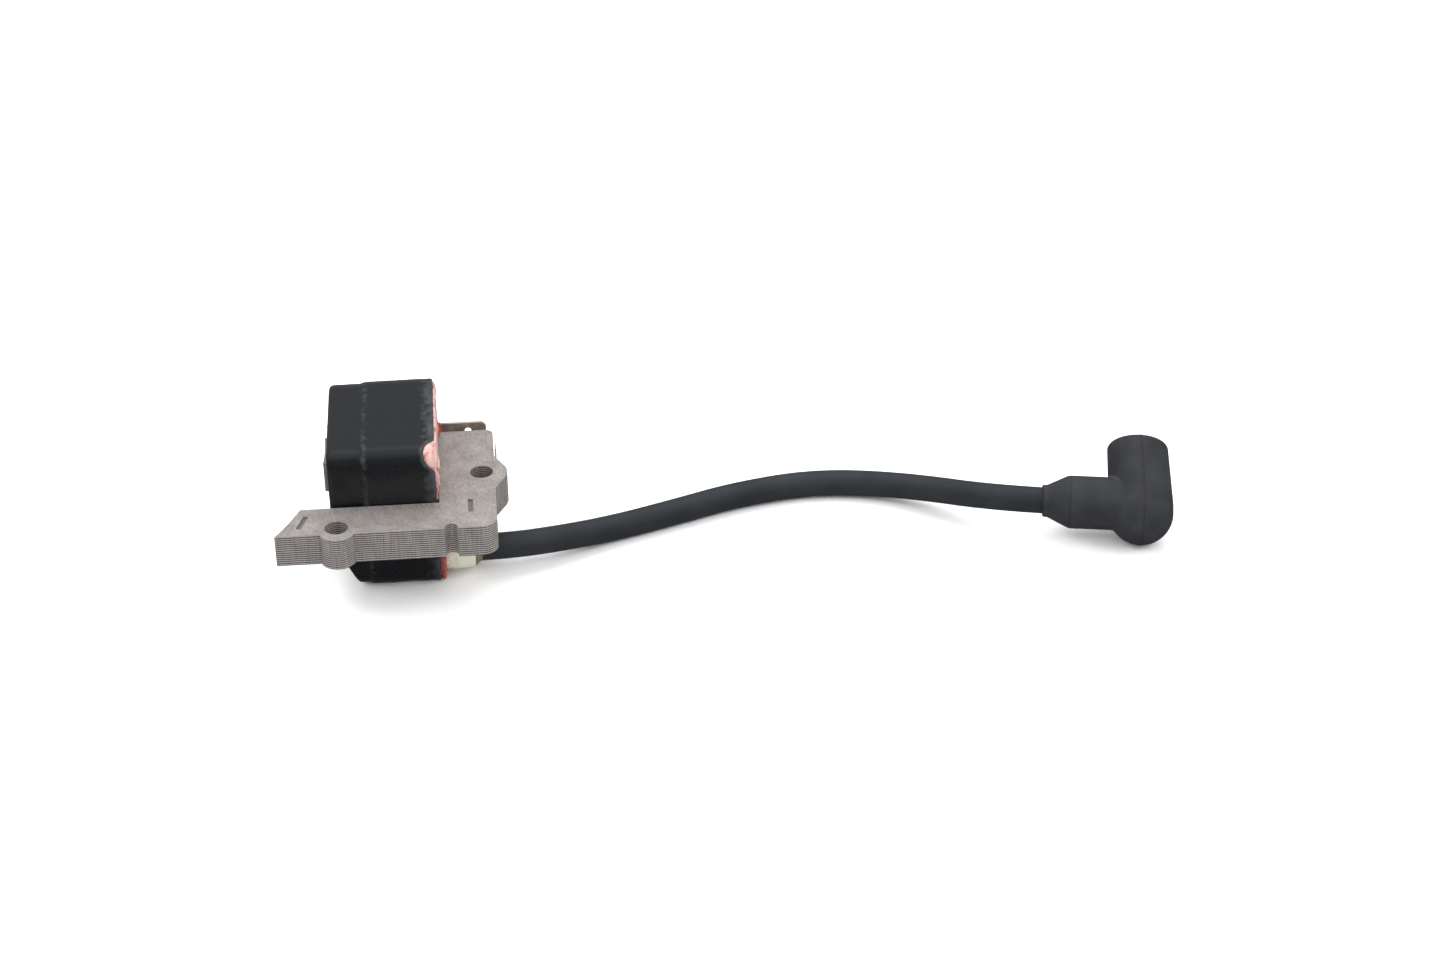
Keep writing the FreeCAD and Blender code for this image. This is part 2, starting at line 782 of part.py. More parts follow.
# Body axes: x along the blade from the yoke's inner face, y through its thickness, z up.
kill_terminal = new_body("kill_terminal")
place(kill_terminal, "-yoke_width", "core_depth + tab_core_gap", "tab_top - tab_height")
blade_outline = body_sketch(
    kill_terminal,
    "blade_outline",
    "XZ_Plane",
    [
        ("-tab_root", "0"),
        ("tab_length - tab_chamfer", "0"),
        ("tab_length", "tab_chamfer"),
        ("tab_length", "tab_height - tab_chamfer"),
        ("tab_length - tab_chamfer", "tab_height"),
        ("-tab_root", "tab_height"),
    ],
)
blade = kill_terminal.newObject("PartDesign::Pad", "blade")
blade.Profile = blade_outline
blade.Reversed = True  # the plane's normal is -Y
bind(blade, Length="tab_thickness")
doc.recompute()
tab_hole_outline = body_sketch(
    kill_terminal,
    "tab_hole_outline",
    "XZ_Plane",
    [
        ("tab_length - tab_hole_inset", "tab_height / 2 - tab_hole_diameter / 2", "tab_hole_diameter / 2"),
        ("tab_length - tab_hole_inset + tab_hole_diameter / 2", "tab_height / 2", "tab_hole_diameter / 2"),
        ("tab_length - tab_hole_inset", "tab_height / 2 + tab_hole_diameter / 2", "tab_hole_diameter / 2"),
        ("tab_length - tab_hole_inset - tab_hole_diameter / 2", "tab_height / 2", "tab_hole_diameter / 2"),
    ],
)
tab_hole = kill_terminal.newObject("PartDesign::Pocket", "tab_hole")
tab_hole.Profile = tab_hole_outline
tab_hole.Type = "ThroughAll"
tab_hole.Midplane = True
doc.recompute()
node("kill_terminal", kill_terminal)

# ---------------------------------------------------------------------------------------------------
# Earth tag: a thin strap from the potting to an eye under the yoke's lug, with an upturned ear
# ---------------------------------------------------------------------------------------------------

tag_low = "-stack - tag_thickness"
tag_strap = box(
    "tag_strap",
    "-yoke_width - tag_root",
    "rear_hole_depth - tag_strap_width / 2",
    tag_low,
    f"yoke_width + tag_root + {LUG_MID}",
    "tag_strap_width",
    "tag_thickness",
)
tag_ring = rod("tag_ring", "tag_ring_radius", "tag_thickness", LUG_MID, "rear_hole_depth", tag_low)
tag_arm = box(
    "tag_arm",
    LUG_MID,
    "rear_hole_depth",
    tag_low,
    "rear_lug_radius - rear_lug_reach",
    "tag_ear_start + tag_ear_width",
    "tag_thickness",
)
tag_foot = box(
    "tag_foot",
    "-tag_foot_lap",
    "rear_hole_depth + tag_ear_start",
    tag_low,
    "tag_foot_lap + tag_ear_gap + tag_thickness",
    "tag_ear_width",
    "tag_thickness",
)
tag_ear = box(
    "tag_ear",
    "tag_ear_gap",
    "rear_hole_depth + tag_ear_start",
    tag_low,
    "tag_thickness",
    "tag_ear_width",
    "tag_thickness + stack + tag_ear_rise",
)
tag_blank = fuse("tag_blank", tag_strap, tag_ring, tag_arm, tag_foot, tag_ear)
tag_hole = rod("tag_hole", "tag_hole_diameter / 2", "tag_thickness", LUG_MID, "rear_hole_depth", tag_low)
ground_tag = node("ground_tag", cut("ground_tag", tag_blank, tag_hole))

# ---------------------------------------------------------------------------------------------------
# Lead outlet: pin, collar and sealant, all on the lead's first straight run
# ---------------------------------------------------------------------------------------------------

lead_start = "-yoke_width + collar_shoulder"

pin_spike = rod(
    "pin_spike",
    "core_wire_radius",
    "collar_root + collar_shoulder + pin_reach",
    "-yoke_width - collar_root",
    "outlet_depth",
    "outlet_z",
    ALONG_X,
)
pin_flange = rod(
    "pin_flange",
    "pin_flange_radius",
    "pin_flange_thickness",
    "-yoke_width - collar_root - pin_flange_thickness",
    "outlet_depth",
    "outlet_z",
    ALONG_X,
)
ht_output_pin = node("ht_output_pin", fuse("ht_output_pin", pin_spike, pin_flange))

# Body axes: the sketch's x is the lead's axis, starting at the yoke's inner face.
lead_collar = new_body("lead_collar")
place(lead_collar, "-yoke_width", "outlet_depth", "outlet_z")
collar_outline = body_sketch(
    lead_collar,
    "collar_outline",
    "XY_Plane",
    [
        ("-collar_root", "core_wire_radius"),
        ("collar_shoulder", "core_wire_radius"),
        ("collar_shoulder", "lead_radius"),
        ("collar_length", "lead_radius"),
        ("collar_length", "collar_radius - collar_edge"),
        ("collar_length - collar_edge", "collar_radius"),
        ("potting_proud - case_yoke_gap", "collar_radius"),
        ("potting_proud - case_yoke_gap", "collar_shank_radius"),
        ("-collar_root", "collar_shank_radius"),
    ],
)
revolve(lead_collar, "PartDesign::Revolution", "collar_turned", collar_outline, "H_Axis")
node("lead_collar", lead_collar)

# Bead of sealant round the lead where it leaves the collar.
lead_sealant = new_body("lead_sealant")
place(lead_sealant, "collar_end", "outlet_depth", "outlet_z")
sealant_outline = body_sketch(
    lead_sealant,
    "sealant_outline",
    "XY_Plane",
    [
        ("0", "lead_radius"),
        ("sealant_length", "lead_radius"),
        ("sealant_length", "sealant_tip_radius"),
        ("0", "sealant_radius - collar_edge"),
    ],
)
revolve(lead_sealant, "PartDesign::Revolution", "sealant_turned", sealant_outline, "H_Axis")
node("lead_sealant", lead_sealant)

# ---------------------------------------------------------------------------------------------------
# High-tension lead, lying where it is put down: straight runs joined by tangent arcs
# ---------------------------------------------------------------------------------------------------

# The route of the lead's axis: x and y from its first end inside the collar, and the height above the
# surface that the coil lies on. It leaves the collar level, comes down to the surface, bows towards
# the back and climbs into the boot. The last run is the boot's inlet axis. A thicker lead leaves the
# case higher, and the whole route is raised with it.
LEAD_ROUTE = [
    (0.0, 0.0, 6.4),
    (15.2, 0.0, 6.4),
    (30.2, 4.5, 5.1),
    (44.0, 10.5, 3.5),
    (59.0, 16.1, 3.5),
    (78.0, 23.8, 3.5),
    (100.0, 28.1, 3.5),
    (123.0, 22.6, 4.3),
    (146.4, 4.5, 9.7),
    (168.0, 0.5, 9.7),
]
ARC_SHARE = 0.45


def lead_path(points):
    """Wire of the route, with an arc as large as its two runs allow at each inner point."""
    edges = []
    last = points[0]
    for before, corner, after in zip(points, points[1:], points[2:]):
        back = before - corner
        onward = after - corner
        reach = ARC_SHARE * min(back.Length, onward.Length)
        turn = math.pi - back.getAngle(onward)
        radius = reach / math.tan(turn / 2)
        back.normalize()
        onward.normalize()
        start = corner + back * reach
        stop = corner + onward * reach
        inward = (back + onward).normalize()
        middle = corner + inward * (radius / math.cos(turn / 2) - radius)
        edges.append(Part.LineSegment(last, start).toShape())
        edges.append(Part.Arc(start, middle, stop).toShape())
        last = stop
        print(f"lead turn {math.degrees(turn):5.1f} degrees, radius {radius:6.1f} mm")
    edges.append(Part.LineSegment(last, points[-1]).toShape())
    return Part.Wire(edges)


def swept_round(path, points, radius):
    """Round solid along the path."""
    ring = Part.Wire(Part.Circle(points[0], points[1] - points[0], radius).toShape())
    return path.makePipeShell([ring], True, False)


route_lift = value("outlet_height") - LEAD_ROUTE[0][2]
lead_origin = V(value("core_x + " + lead_start), value("core_y + outlet_depth"), route_lift)
route = [lead_origin + V(*point) for point in LEAD_ROUTE]
path = lead_path(route)
lead_radius = value("lead_radius")
wire_radius = value("core_wire_radius")
along_end = (route[-1] - route[-2]).normalize()

wire_shape = swept_round(path, route, wire_radius)
ht_lead = doc.addObject("Part::Feature", "ht_lead")
ht_lead.Shape = swept_round(path, route, lead_radius).cut(wire_shape)
node("ht_lead", ht_lead)

# The output pin is driven into the core wire's first end, and the boot's spring tail into its last.
tail_hole_radius = value("spring_wire_radius + spring_tail_clearance")
tail_depth = value("spring_tail_bite + spring_room")
overcut = value(OVERCUT)
tail_start = route[-1] - along_end * tail_depth
tail_hole = Part.makeCylinder(tail_hole_radius, tail_depth + overcut, tail_start, along_end)
along_start = (route[1] - route[0]).normalize()
pin_start = route[0] - along_start * overcut
pin_hole = Part.makeCylinder(lead_radius, value("pin_reach") + overcut, pin_start, along_start)
ht_lead_conductor = doc.addObject("Part::Feature", "ht_lead_conductor")
ht_lead_conductor.Shape = wire_shape.cut(pin_hole).cut(tail_hole)
node("ht_lead_conductor", ht_lead_conductor)

section = math.pi * (lead_radius**2 - wire_radius**2)
print(f"lead length {path.Length:.1f} mm")
print(f"lead volume {ht_lead.Shape.Volume:.1f}, section times length {section * path.Length:.1f}")

# ---------------------------------------------------------------------------------------------------
# Plug boot: rubber elbow that grips the lead's end and turns on it
# ---------------------------------------------------------------------------------------------------

# Body axes: origin where the inlet's axis meets the barrel's, x along the inlet away from the lead,
# y along the barrel towards its open end.
heading = math.degrees(math.atan2(along_end.y, along_end.x))
elbow = route[-1] + along_end * value("boot_inlet_length - boot_grip")
boot_turn = FreeCAD.Rotation(V(0, 0, 1), heading) * FreeCAD.Rotation(V(1, 0, 0), value("boot_pitch"))
boot_placement = FreeCAD.Placement(elbow, boot_turn)

plug_boot = new_body("plug_boot")
plug_boot.Placement = boot_placement
barrel_outline = body_sketch(
    plug_boot,
    "barrel_outline",
    "XY_Plane",
    [
        ("0", "-boot_dome_offset - boot_radius", "boot_radius"),
        ("boot_radius", "-boot_dome_offset"),
        ("boot_radius", "boot_barrel_length - boot_edge_radius", "boot_edge_radius"),
        ("boot_radius - boot_edge_radius", "boot_barrel_length"),
        ("0", "boot_barrel_length"),
    ],
)
revolve(plug_boot, "PartDesign::Revolution", "barrel", barrel_outline, "V_Axis")
inlet_outline = body_sketch(
    plug_boot,
    "inlet_outline",
    "XY_Plane",
    [
        ("-boot_inlet_length", "0"),
        ("0", "0"),
        ("0", "boot_inlet_radius"),
        ("-boot_inlet_length + boot_cone_length", "boot_inlet_radius"),
        ("-boot_inlet_length + boot_lip_length", "boot_lip_radius"),
        ("-boot_inlet_length", "boot_lip_radius"),
    ],
)
revolve(plug_boot, "PartDesign::Revolution", "inlet", inlet_outline, "H_Axis")
solid_volume = plug_boot.Shape.Volume
bore_outline = body_sketch(
    plug_boot,
    "bore_outline",
    "XY_Plane",
    [
        ("0", "-boot_cavity_radius"),
        ("boot_cavity_radius", "-boot_cavity_radius"),
        ("boot_cavity_radius", "boot_step"),
        ("boot_bore_radius", "boot_step"),
        ("boot_bore_radius", f"boot_barrel_length + {OVERCUT}"),
        ("0", f"boot_barrel_length + {OVERCUT}"),
    ],
)
revolve(plug_boot, "PartDesign::Groove", "bore", bore_outline, "V_Axis")
lead_bore_outline = body_sketch(
    plug_boot,
    "lead_bore_outline",
    "XY_Plane",
    [
        (f"-boot_inlet_length - {OVERCUT}", "0"),
        ("-spring_radius", "0"),
        ("-spring_radius", "boot_tail_bore_radius"),
        ("boot_lead_stop", "boot_tail_bore_radius"),
        ("boot_lead_stop", "boot_mouth_radius"),
        (f"-boot_inlet_length - {OVERCUT}", "boot_mouth_radius"),
    ],
)
revolve(plug_boot, "PartDesign::Groove", "lead_bore", lead_bore_outline, "H_Axis")
assert plug_boot.Shape.Volume < solid_volume, "the boot's bores cut nothing"
node("plug_boot", plug_boot)

# Spring terminal: a coil that the plug's top screws into, with a straight tail into the lead's wire.
coil_line = doc.addObject("Part::Helix", "spring_line")
bind(coil_line, Radius="spring_radius", Pitch="spring_pitch", Height="spring_height")
wire_ring = doc.addObject("Part::Circle", "spring_wire_ring")
bind(wire_ring, Radius="spring_wire_radius")
wire_ring.Placement = FreeCAD.Placement(V(0, 0, 0), FreeCAD.Rotation(V(1, 0, 0), 90))
wire_ring.setExpression(".Placement.Base.x", formula("spring_radius"))
spring_coil = doc.addObject("Part::Sweep", "spring_coil")
spring_coil.Sections = [wire_ring]
doc.recompute()
spring_coil.Spine = (coil_line, ["Edge1"])
spring_coil.Solid = True
spring_coil.Frenet = True
tail = doc.addObject("Part::Cylinder", "spring_tail")
bind(
    tail,
    Radius="spring_wire_radius",
    Height="boot_inlet_length - boot_grip + spring_tail_bite - spring_radius + spring_wire_radius / 2",
)
tail.Placement = FreeCAD.Placement(V(0, 0, 0), FreeCAD.Rotation(V(0, 0, 1), V(1, 0, 0)))
tail.setExpression(".Placement.Base.x", formula("spring_radius - spring_wire_radius / 2"))
spring_terminal = fuse("plug_spring", spring_coil, tail)
spring_terminal.Refine = False
lay_in_boot = FreeCAD.Rotation(V(-1, 0, 0), V(0, 0, 1), V(0, 1, 0), "ZXY")
spring_terminal.Placement = boot_placement * FreeCAD.Placement(V(0, 0, 0), lay_in_boot)
node("plug_spring", spring_terminal)

# ---------------------------------------------------------------------------------------------------
# Potting: epoxy that fills the case round everything in it and stands a little proud of the rim
# ---------------------------------------------------------------------------------------------------

potting_cap = section_block("potting_cap", "potting_inset", "rim_x", "potting_proud")
notch_fill_bore = corner_bore("potting_notch_bore", "notch_start - potting_notch_shy", "notch_reach")
notch_plug_block = section_block(
    "potting_notch_block", "potting_notch_inset", "rim_x - potting_notch_depth", "potting_notch_depth"
)
notch_plug = doc.addObject("Part::Common", "potting_notch_plug")
notch_plug.Base = notch_plug_block
notch_plug.Tool = notch_fill_bore
potting_block = fuse("potting_block", case_space, potting_cap, notch_plug)
core_relief = box(
    "potting_core_relief",
    "-yoke_width - potting_core_gap",
    "-potting_core_gap",
    "-stack - tag_thickness - potting_core_gap",
    "yoke_width",
    "core_depth + 2 * potting_core_gap",
    "stack + tag_thickness + 2 * potting_core_gap",
)
dip = box(
    "potting_dip_block",
    "-yoke_width - potting_dip",
    "potting_dip_start",
    "-stack - tag_thickness - potting_core_gap",
    "yoke_width",
    "potting_dip_length",
    "stack + tag_thickness + 4 * potting_core_gap",
)
buried = fuse(
    "potting_buried",
    ring_core("potting_tunnel_room", "tunnel_gap + tunnel_wall", "nose_x", "case_length + potting_proud"),
    circuit_board,
    storage_capacitor,
    switching_thyristor,
    charging_diode,
    trigger_resistor,
    ground_tag,
    ht_output_pin,
)
potting_compound = node(
    "potting_compound",
    cut(
        "potting_compound",
        potting_block,
        core_relief,
        dip,
        buried,
        primary_bobbin,
        primary_winding,
        secondary_bobbin,
        secondary_winding,
        kill_terminal,
        lead_collar,
    ),
)

# ---------------------------------------------------------------------------------------------------
# Checks and files
# ---------------------------------------------------------------------------------------------------

doc.recompute()
for thing in doc.Objects:
    for state in thing.State:
        if state in ("Invalid", "Error"):
            raise RuntimeError(f"{thing.Name} is {state}")

os.makedirs("parts", exist_ok=True)
for part in nodes:
    if part.Shape.isNull() or not part.Shape.isValid():
        raise RuntimeError(f"{part.Label} has no valid shape")
    part.Shape.exportStep(f"parts/{part.Label}.step")
    extent = part.Shape.BoundBox
    print(
        f"{part.Label:22s} solids {len(part.Shape.Solids)} volume {part.Shape.Volume:9.1f}"
        f"  x {extent.XMin:7.2f} {extent.XMax:7.2f}  y {extent.YMin:7.2f} {extent.YMax:7.2f}"
        f"  z {extent.ZMin:7.2f} {extent.ZMax:7.2f}"
    )
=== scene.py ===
import json
import math

import bpy
from mathutils import Euler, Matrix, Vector


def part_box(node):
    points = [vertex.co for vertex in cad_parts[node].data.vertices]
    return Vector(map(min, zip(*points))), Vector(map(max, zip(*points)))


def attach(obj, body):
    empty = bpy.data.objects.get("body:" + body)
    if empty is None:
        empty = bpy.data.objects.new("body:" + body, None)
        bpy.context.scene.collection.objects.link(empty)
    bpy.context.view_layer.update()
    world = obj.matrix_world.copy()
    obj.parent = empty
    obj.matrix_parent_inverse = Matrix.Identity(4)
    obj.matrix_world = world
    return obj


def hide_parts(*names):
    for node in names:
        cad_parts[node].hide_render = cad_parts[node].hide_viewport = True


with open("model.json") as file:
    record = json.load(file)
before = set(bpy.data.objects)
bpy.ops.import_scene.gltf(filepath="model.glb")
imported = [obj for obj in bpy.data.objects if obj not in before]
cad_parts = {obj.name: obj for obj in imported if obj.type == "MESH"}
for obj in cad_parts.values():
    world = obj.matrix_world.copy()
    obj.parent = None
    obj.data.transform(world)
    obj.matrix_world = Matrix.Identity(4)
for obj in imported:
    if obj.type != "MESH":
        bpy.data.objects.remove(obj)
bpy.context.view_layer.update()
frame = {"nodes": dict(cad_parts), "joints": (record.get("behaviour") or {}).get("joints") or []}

nodes = frame["nodes"]
MM = 0.001

# The bench
# A sheet of matt white paper that the coil lies on. It throws no reflection back at the parts, as
# the dark front of a light tent does not.
bpy.ops.object.select_all(action="DESELECT")
PAPER_WIDTH = 6.0
PAPER_DROP = 0.03 * MM
bpy.ops.mesh.primitive_plane_add(size=PAPER_WIDTH, location=(0.09, 0, -PAPER_DROP))
bench = bpy.context.object
bench.name = "bench"
bench.visible_glossy = False


def paint(hex_code):
    """An sRGB hex colour as linear red, green, blue and opacity."""
    shares = [int(hex_code[start:start + 2], 16) / 255 for start in (1, 3, 5)]
    linear = [s / 12.92 if s <= 0.04045 else ((s + 0.055) / 1.055) ** 2.4 for s in shares]
    return (*linear, 1)


def new_finish(name, colour, roughness, **values):
    """A material named for its finish, with its surface shader's colour, roughness and values."""
    material = bpy.data.materials.new(name)
    material.use_nodes = True
    shader = material.node_tree.nodes["Principled BSDF"]
    shader.inputs["Base Color"].default_value = paint(colour)
    shader.inputs["Roughness"].default_value = roughness
    for socket, value in values.items():
        shader.inputs[socket.replace("_", " ")].default_value = value
    return material


def add(material, kind, wires, **settings):
    """Adds a node to a material. Each wire is an input's name or number, and a socket or a value."""
    tree = material.node_tree
    made = tree.nodes.new(kind)
    for name, value in settings.items():
        setattr(made, name, value)
    for socket, value in wires.items():
        if isinstance(value, bpy.types.NodeSocket):
            tree.links.new(value, made.inputs[socket])
        else:
            made.inputs[socket].default_value = value
    return made


def surface(material, **wires):
    """Links sockets to the material's surface shader."""
    shader = material.node_tree.nodes["Principled BSDF"]
    for name, socket in wires.items():
        material.node_tree.links.new(socket, shader.inputs[name.replace("_", " ")])


def bleed(material, reach):
    """How far red, green and blue light spread under the skin."""
    material.node_tree.nodes["Principled BSDF"].inputs["Subsurface Radius"].default_value = reach


# Matt paper: no gloss, with a fibre's faint unevenness of tone, 8 mm across.
paper = new_finish("matt_white_paper", "#ffffff", 0.95)
place = add(paper, "ShaderNodeTexCoord", {})
fibre = add(paper, "ShaderNodeTexNoise", {"Vector": place.outputs["Object"], "Scale": 1 / (8 * MM)})
tone = add(paper, "ShaderNodeMix", {0: fibre.outputs["Fac"], 6: paint("#ffffff"), 7: paint("#fbfbfb")},
           data_type="RGBA")
surface(paper, Base_Color=tone.outputs[2])
bench.data.materials.append(paper)

# Light tent
# A dim tent, brighter overhead and behind, with four large soft boxes round the bench. The boxes light
# the parts but aren't mirrored in them, so the black mouldings stay black.
bpy.context.scene.view_settings.view_transform = "Standard"
world = bpy.data.worlds.new("light_tent")
bpy.context.scene.world = world
world.use_nodes = True
tent = world.node_tree.nodes["Background"]
direction = add(world, "ShaderNodeTexCoord", {})
split = add(world, "ShaderNodeSeparateXYZ", {0: direction.outputs["Generated"]})
climb = add(world, "ShaderNodeMapRange", {"Value": split.outputs["Z"], "From Min": -1.0, "From Max": 1.0})
height = add(world, "ShaderNodeValToRGB", {0: climb.outputs[0]})
sky = height.color_ramp
BELOW, AROUND, OVERHEAD = 0.08, 0.14, 0.38
sky.elements[0].position = 0.4
sky.elements[0].color = (BELOW, BELOW, BELOW, 1)
sky.elements[1].position = 0.92
sky.elements[1].color = (OVERHEAD, OVERHEAD, OVERHEAD, 1)
for spot in (0.55, 0.8):
    sky.elements.new(spot).color = (AROUND, AROUND, AROUND, 1)
behind = add(world, "ShaderNodeMapRange",
             {"Value": split.outputs["Y"], "From Min": -0.9, "From Max": 0.4, "To Min": 0.9, "To Max": 2.2})
level = add(world, "ShaderNodeMath", {0: height.outputs[0], 1: behind.outputs[0]}, operation="MULTIPLY")
world.node_tree.links.new(level.outputs[0], tent.inputs["Strength"])
tent.inputs["Color"].default_value = paint("#ffffff")
for name, spot, aim, width, power in [
    ("back_box", (0.1, 0.9, 1.1), (0.06, 0, 0), 1.4, 24),
    ("front_box", (0.06, -1.1, 0.9), (0.06, 0, 0), 1.2, 9),
    ("left_box", (-0.9, -0.1, 0.8), (0, 0, 0), 0.9, 10),
    ("right_box", (1.0, -0.3, 0.8), (0.1, 0, 0), 0.9, 10),
]:
    lamp = bpy.data.lights.new(name, "AREA")
    lamp.size = width
    lamp.energy = power
    box = bpy.data.objects.new(name, lamp)
    box.location = spot
    box.rotation_euler = (Vector(aim) - Vector(spot)).to_track_quat("-Z", "Y").to_euler()
    box.visible_glossy = False
    bpy.context.scene.collection.objects.link(box)

# The view
# From in front and above, a little to the right of the coil, which lies at the left of the view.
camera_data = bpy.data.cameras.new("camera")
camera = bpy.data.objects.new("camera", camera_data)
camera_data.lens = 70.5
camera_data.sensor_width = 36
camera_data.clip_start = 0.01
camera_data.clip_end = 20
camera.location = (0.0260, -0.6262, 0.4092)
camera.rotation_euler = Euler([math.radians(turn) for turn in (58.12, 0.16, -5.52)])
bpy.context.scene.collection.objects.link(camera)
bpy.context.scene.camera = camera

# High-tension lead
# Seven-millimetre ignition cable: a copper strand in a thick extruded rubber jacket. It is pushed on
# the outlet pin inside the ivory collar and runs loose along the bench to the plug boot.
LEAD_DIAMETER = 7.0 * MM
lead_route = [
    (0.01324, -0.00739, 0.0064), (0.02844, -0.00739, 0.0064), (0.04344, -0.00289, 0.0051),
    (0.05724, 0.00311, 0.0035), (0.07224, 0.00871, 0.0035), (0.09124, 0.01641, 0.0035),
    (0.11324, 0.02071, 0.0035), (0.13624, 0.01521, 0.0043), (0.15964, -0.00289, 0.0097),
    (0.18124, -0.00689, 0.0097),
]
lead_curve = bpy.data.curves.new("lead_jacket", "CURVE")
lead_curve.dimensions = "3D"
line = lead_curve.splines.new("NURBS")
line.points.add(len(lead_route) - 1)
for point, spot in zip(line.points, lead_route):
    point.co = (*spot, 1)
line.order_u = 3
line.use_endpoint_u = True
line.resolution_u = 24
lead = bpy.data.objects.new("lead_jacket", lead_curve)
bpy.context.scene.collection.objects.link(lead)
bpy.context.view_layer.update()
lead_line = bpy.data.meshes.new_from_object(lead.evaluated_get(bpy.context.evaluated_depsgraph_get()))
lead_curve.bevel_depth = LEAD_DIAMETER / 2
lead_curve.bevel_resolution = 12
lead_curve.use_fill_caps = True


def only(piece):
    """Makes this piece the one that the next operators act on."""
    bpy.ops.object.select_all(action="DESELECT")
    piece.select_set(True)
    bpy.context.view_layer.objects.active = piece


def merge(piece, distance=0.001 * MM):
    """Joins a piece's doubled points, so that it has one skin."""
    only(piece)
    bpy.ops.object.mode_set(mode="EDIT")
    bpy.ops.mesh.select_all(action="SELECT")
    bpy.ops.mesh.remove_doubles(threshold=distance)
    bpy.ops.object.mode_set(mode="OBJECT")


def dress(piece, material):
    """Gives a piece one finish, in place of what it had."""
    piece.data.materials.clear()
    piece.data.materials.append(material)


SEAM_GAP = 0.002 * MM
only(lead)
bpy.ops.object.convert(target="MESH")
lead = bpy.context.object
lead.name = "lead_jacket"
merge(lead, SEAM_GAP)
bpy.ops.object.shade_smooth()
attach(lead, "coil")
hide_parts("ht_lead")

# Extruded chlorinated rubber: a satin charcoal with a blue cast, a grain of 0.4 mm that breaks up its
# shine, paler rubbed patches 12 mm across, and a little dust.
jacket = new_finish("extruded_rubber_jacket", "#25292d", 0.5, IOR=1.5)
place = add(jacket, "ShaderNodeTexCoord", {})
patches = add(jacket, "ShaderNodeTexNoise",
              {"Vector": place.outputs["Object"], "Scale": 1 / (12 * MM), "Detail": 3})
grain = add(jacket, "ShaderNodeTexNoise",
            {"Vector": place.outputs["Object"], "Scale": 1 / (0.4 * MM), "Detail": 2})
drawn = add(jacket, "ShaderNodeMapping", {"Vector": place.outputs["UV"], "Scale": (2, 60, 1)})
streaks = add(jacket, "ShaderNodeTexNoise", {"Vector": drawn.outputs[0], "Scale": 1, "Detail": 2})
rubbed = add(jacket, "ShaderNodeMapRange",
             {"Value": patches.outputs["Fac"], "From Min": 0.4, "From Max": 0.75})
tone = add(jacket, "ShaderNodeMix", {0: rubbed.outputs[0], 6: paint("#1f2327"), 7: paint("#282c30")},
           data_type="RGBA")
dust = add(jacket, "ShaderNodeMapRange", {"Value": grain.outputs["Fac"], "From Min": 0.68, "From Max": 0.8})
dust_share = add(jacket, "ShaderNodeMath", {0: dust.outputs[0], 1: 0.18}, operation="MULTIPLY")
dusty = add(jacket, "ShaderNodeMix", {0: dust_share.outputs[0], 6: tone.outputs[2], 7: paint("#6d6f70")},
            data_type="RGBA")
gloss = add(jacket, "ShaderNodeMapRange", {"Value": patches.outputs["Fac"], "To Min": 0.42, "To Max": 0.58})
relief = add(jacket, "ShaderNodeMix", {0: 0.5, 2: grain.outputs["Fac"], 3: streaks.outputs["Fac"]})
pores = add(jacket, "ShaderNodeBump", {"Height": relief.outputs[0], "Strength": 0.35, "Distance": 0.06 * MM})
surface(jacket, Base_Color=dusty.outputs[2], Roughness=gloss.outputs[0], Normal=pores.outputs[0])
dress(lead, jacket)


def coat(names, material):
    """Gives CAD nodes their finish."""
    for name in names:
        dress(nodes[name], material)


# Annealed copper strand: warm and bright, with the lay of its wires every 0.9 mm.
strand = new_finish("annealed_copper_strand", "#c87a50", 0.35, Metallic=1.0)
place = add(strand, "ShaderNodeTexCoord", {})
lay = add(strand, "ShaderNodeTexWave", {"Vector": place.outputs["Object"], "Scale": 1 / (1.5 * MM)},
          bands_direction="DIAGONAL")
twist = add(strand, "ShaderNodeBump", {"Height": lay.outputs["Fac"], "Strength": 0.5, "Distance": 0.1 * MM})
surface(strand, Normal=twist.outputs[0])
coat(["ht_lead_conductor"], strand)

# Laminated core
# Fourteen plates of silicon steel, blanked on one die and locked together by their dimples. Each
# edge keeps the marks of the die: a smooth burnished band above a rough torn one.
core_names = sorted(name for name in nodes if name.startswith("lamination_"))
core_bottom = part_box(core_names[0])[0].z
core_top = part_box(core_names[-1])[1].z
plate_thickness = (core_top - core_bottom) / len(core_names)

# Bare electrical steel, tumbled: a dull warm grey, mottled 5 mm across, with a 0.35 mm grain. The
# edges show one light and one dark line for each plate, with upright drag marks from the die. The
# dimples' floors are painted darker, as painted shade in their recesses.
steel = new_finish("blanked_electrical_steel", "#918b89", 0.5, Metallic=0.3)
place = add(steel, "ShaderNodeTexCoord", {})
here = place.outputs["Object"]
mottle = add(steel, "ShaderNodeTexNoise", {"Vector": here, "Scale": 1 / (5 * MM), "Detail": 4})
grain = add(steel, "ShaderNodeTexNoise", {"Vector": here, "Scale": 1 / (0.35 * MM), "Detail": 3})
turned = add(steel, "ShaderNodeMapping",
             {"Vector": here, "Rotation": (0, 0, math.radians(40)), "Scale": (1, 0.45, 1)})
rolled = add(steel, "ShaderNodeTexNoise", {"Vector": turned.outputs[0], "Scale": 1 / (0.5 * MM), "Detail": 2})
face_mix = add(steel, "ShaderNodeMath", {0: mottle.outputs["Fac"], 1: grain.outputs["Fac"]}, operation="ADD")
face_mix = add(steel, "ShaderNodeMath", {0: face_mix.outputs[0], 1: rolled.outputs["Fac"]}, operation="ADD")
face_share = add(steel, "ShaderNodeMapRange",
                 {"Value": face_mix.outputs[0], "From Min": 0.9, "From Max": 1.9})
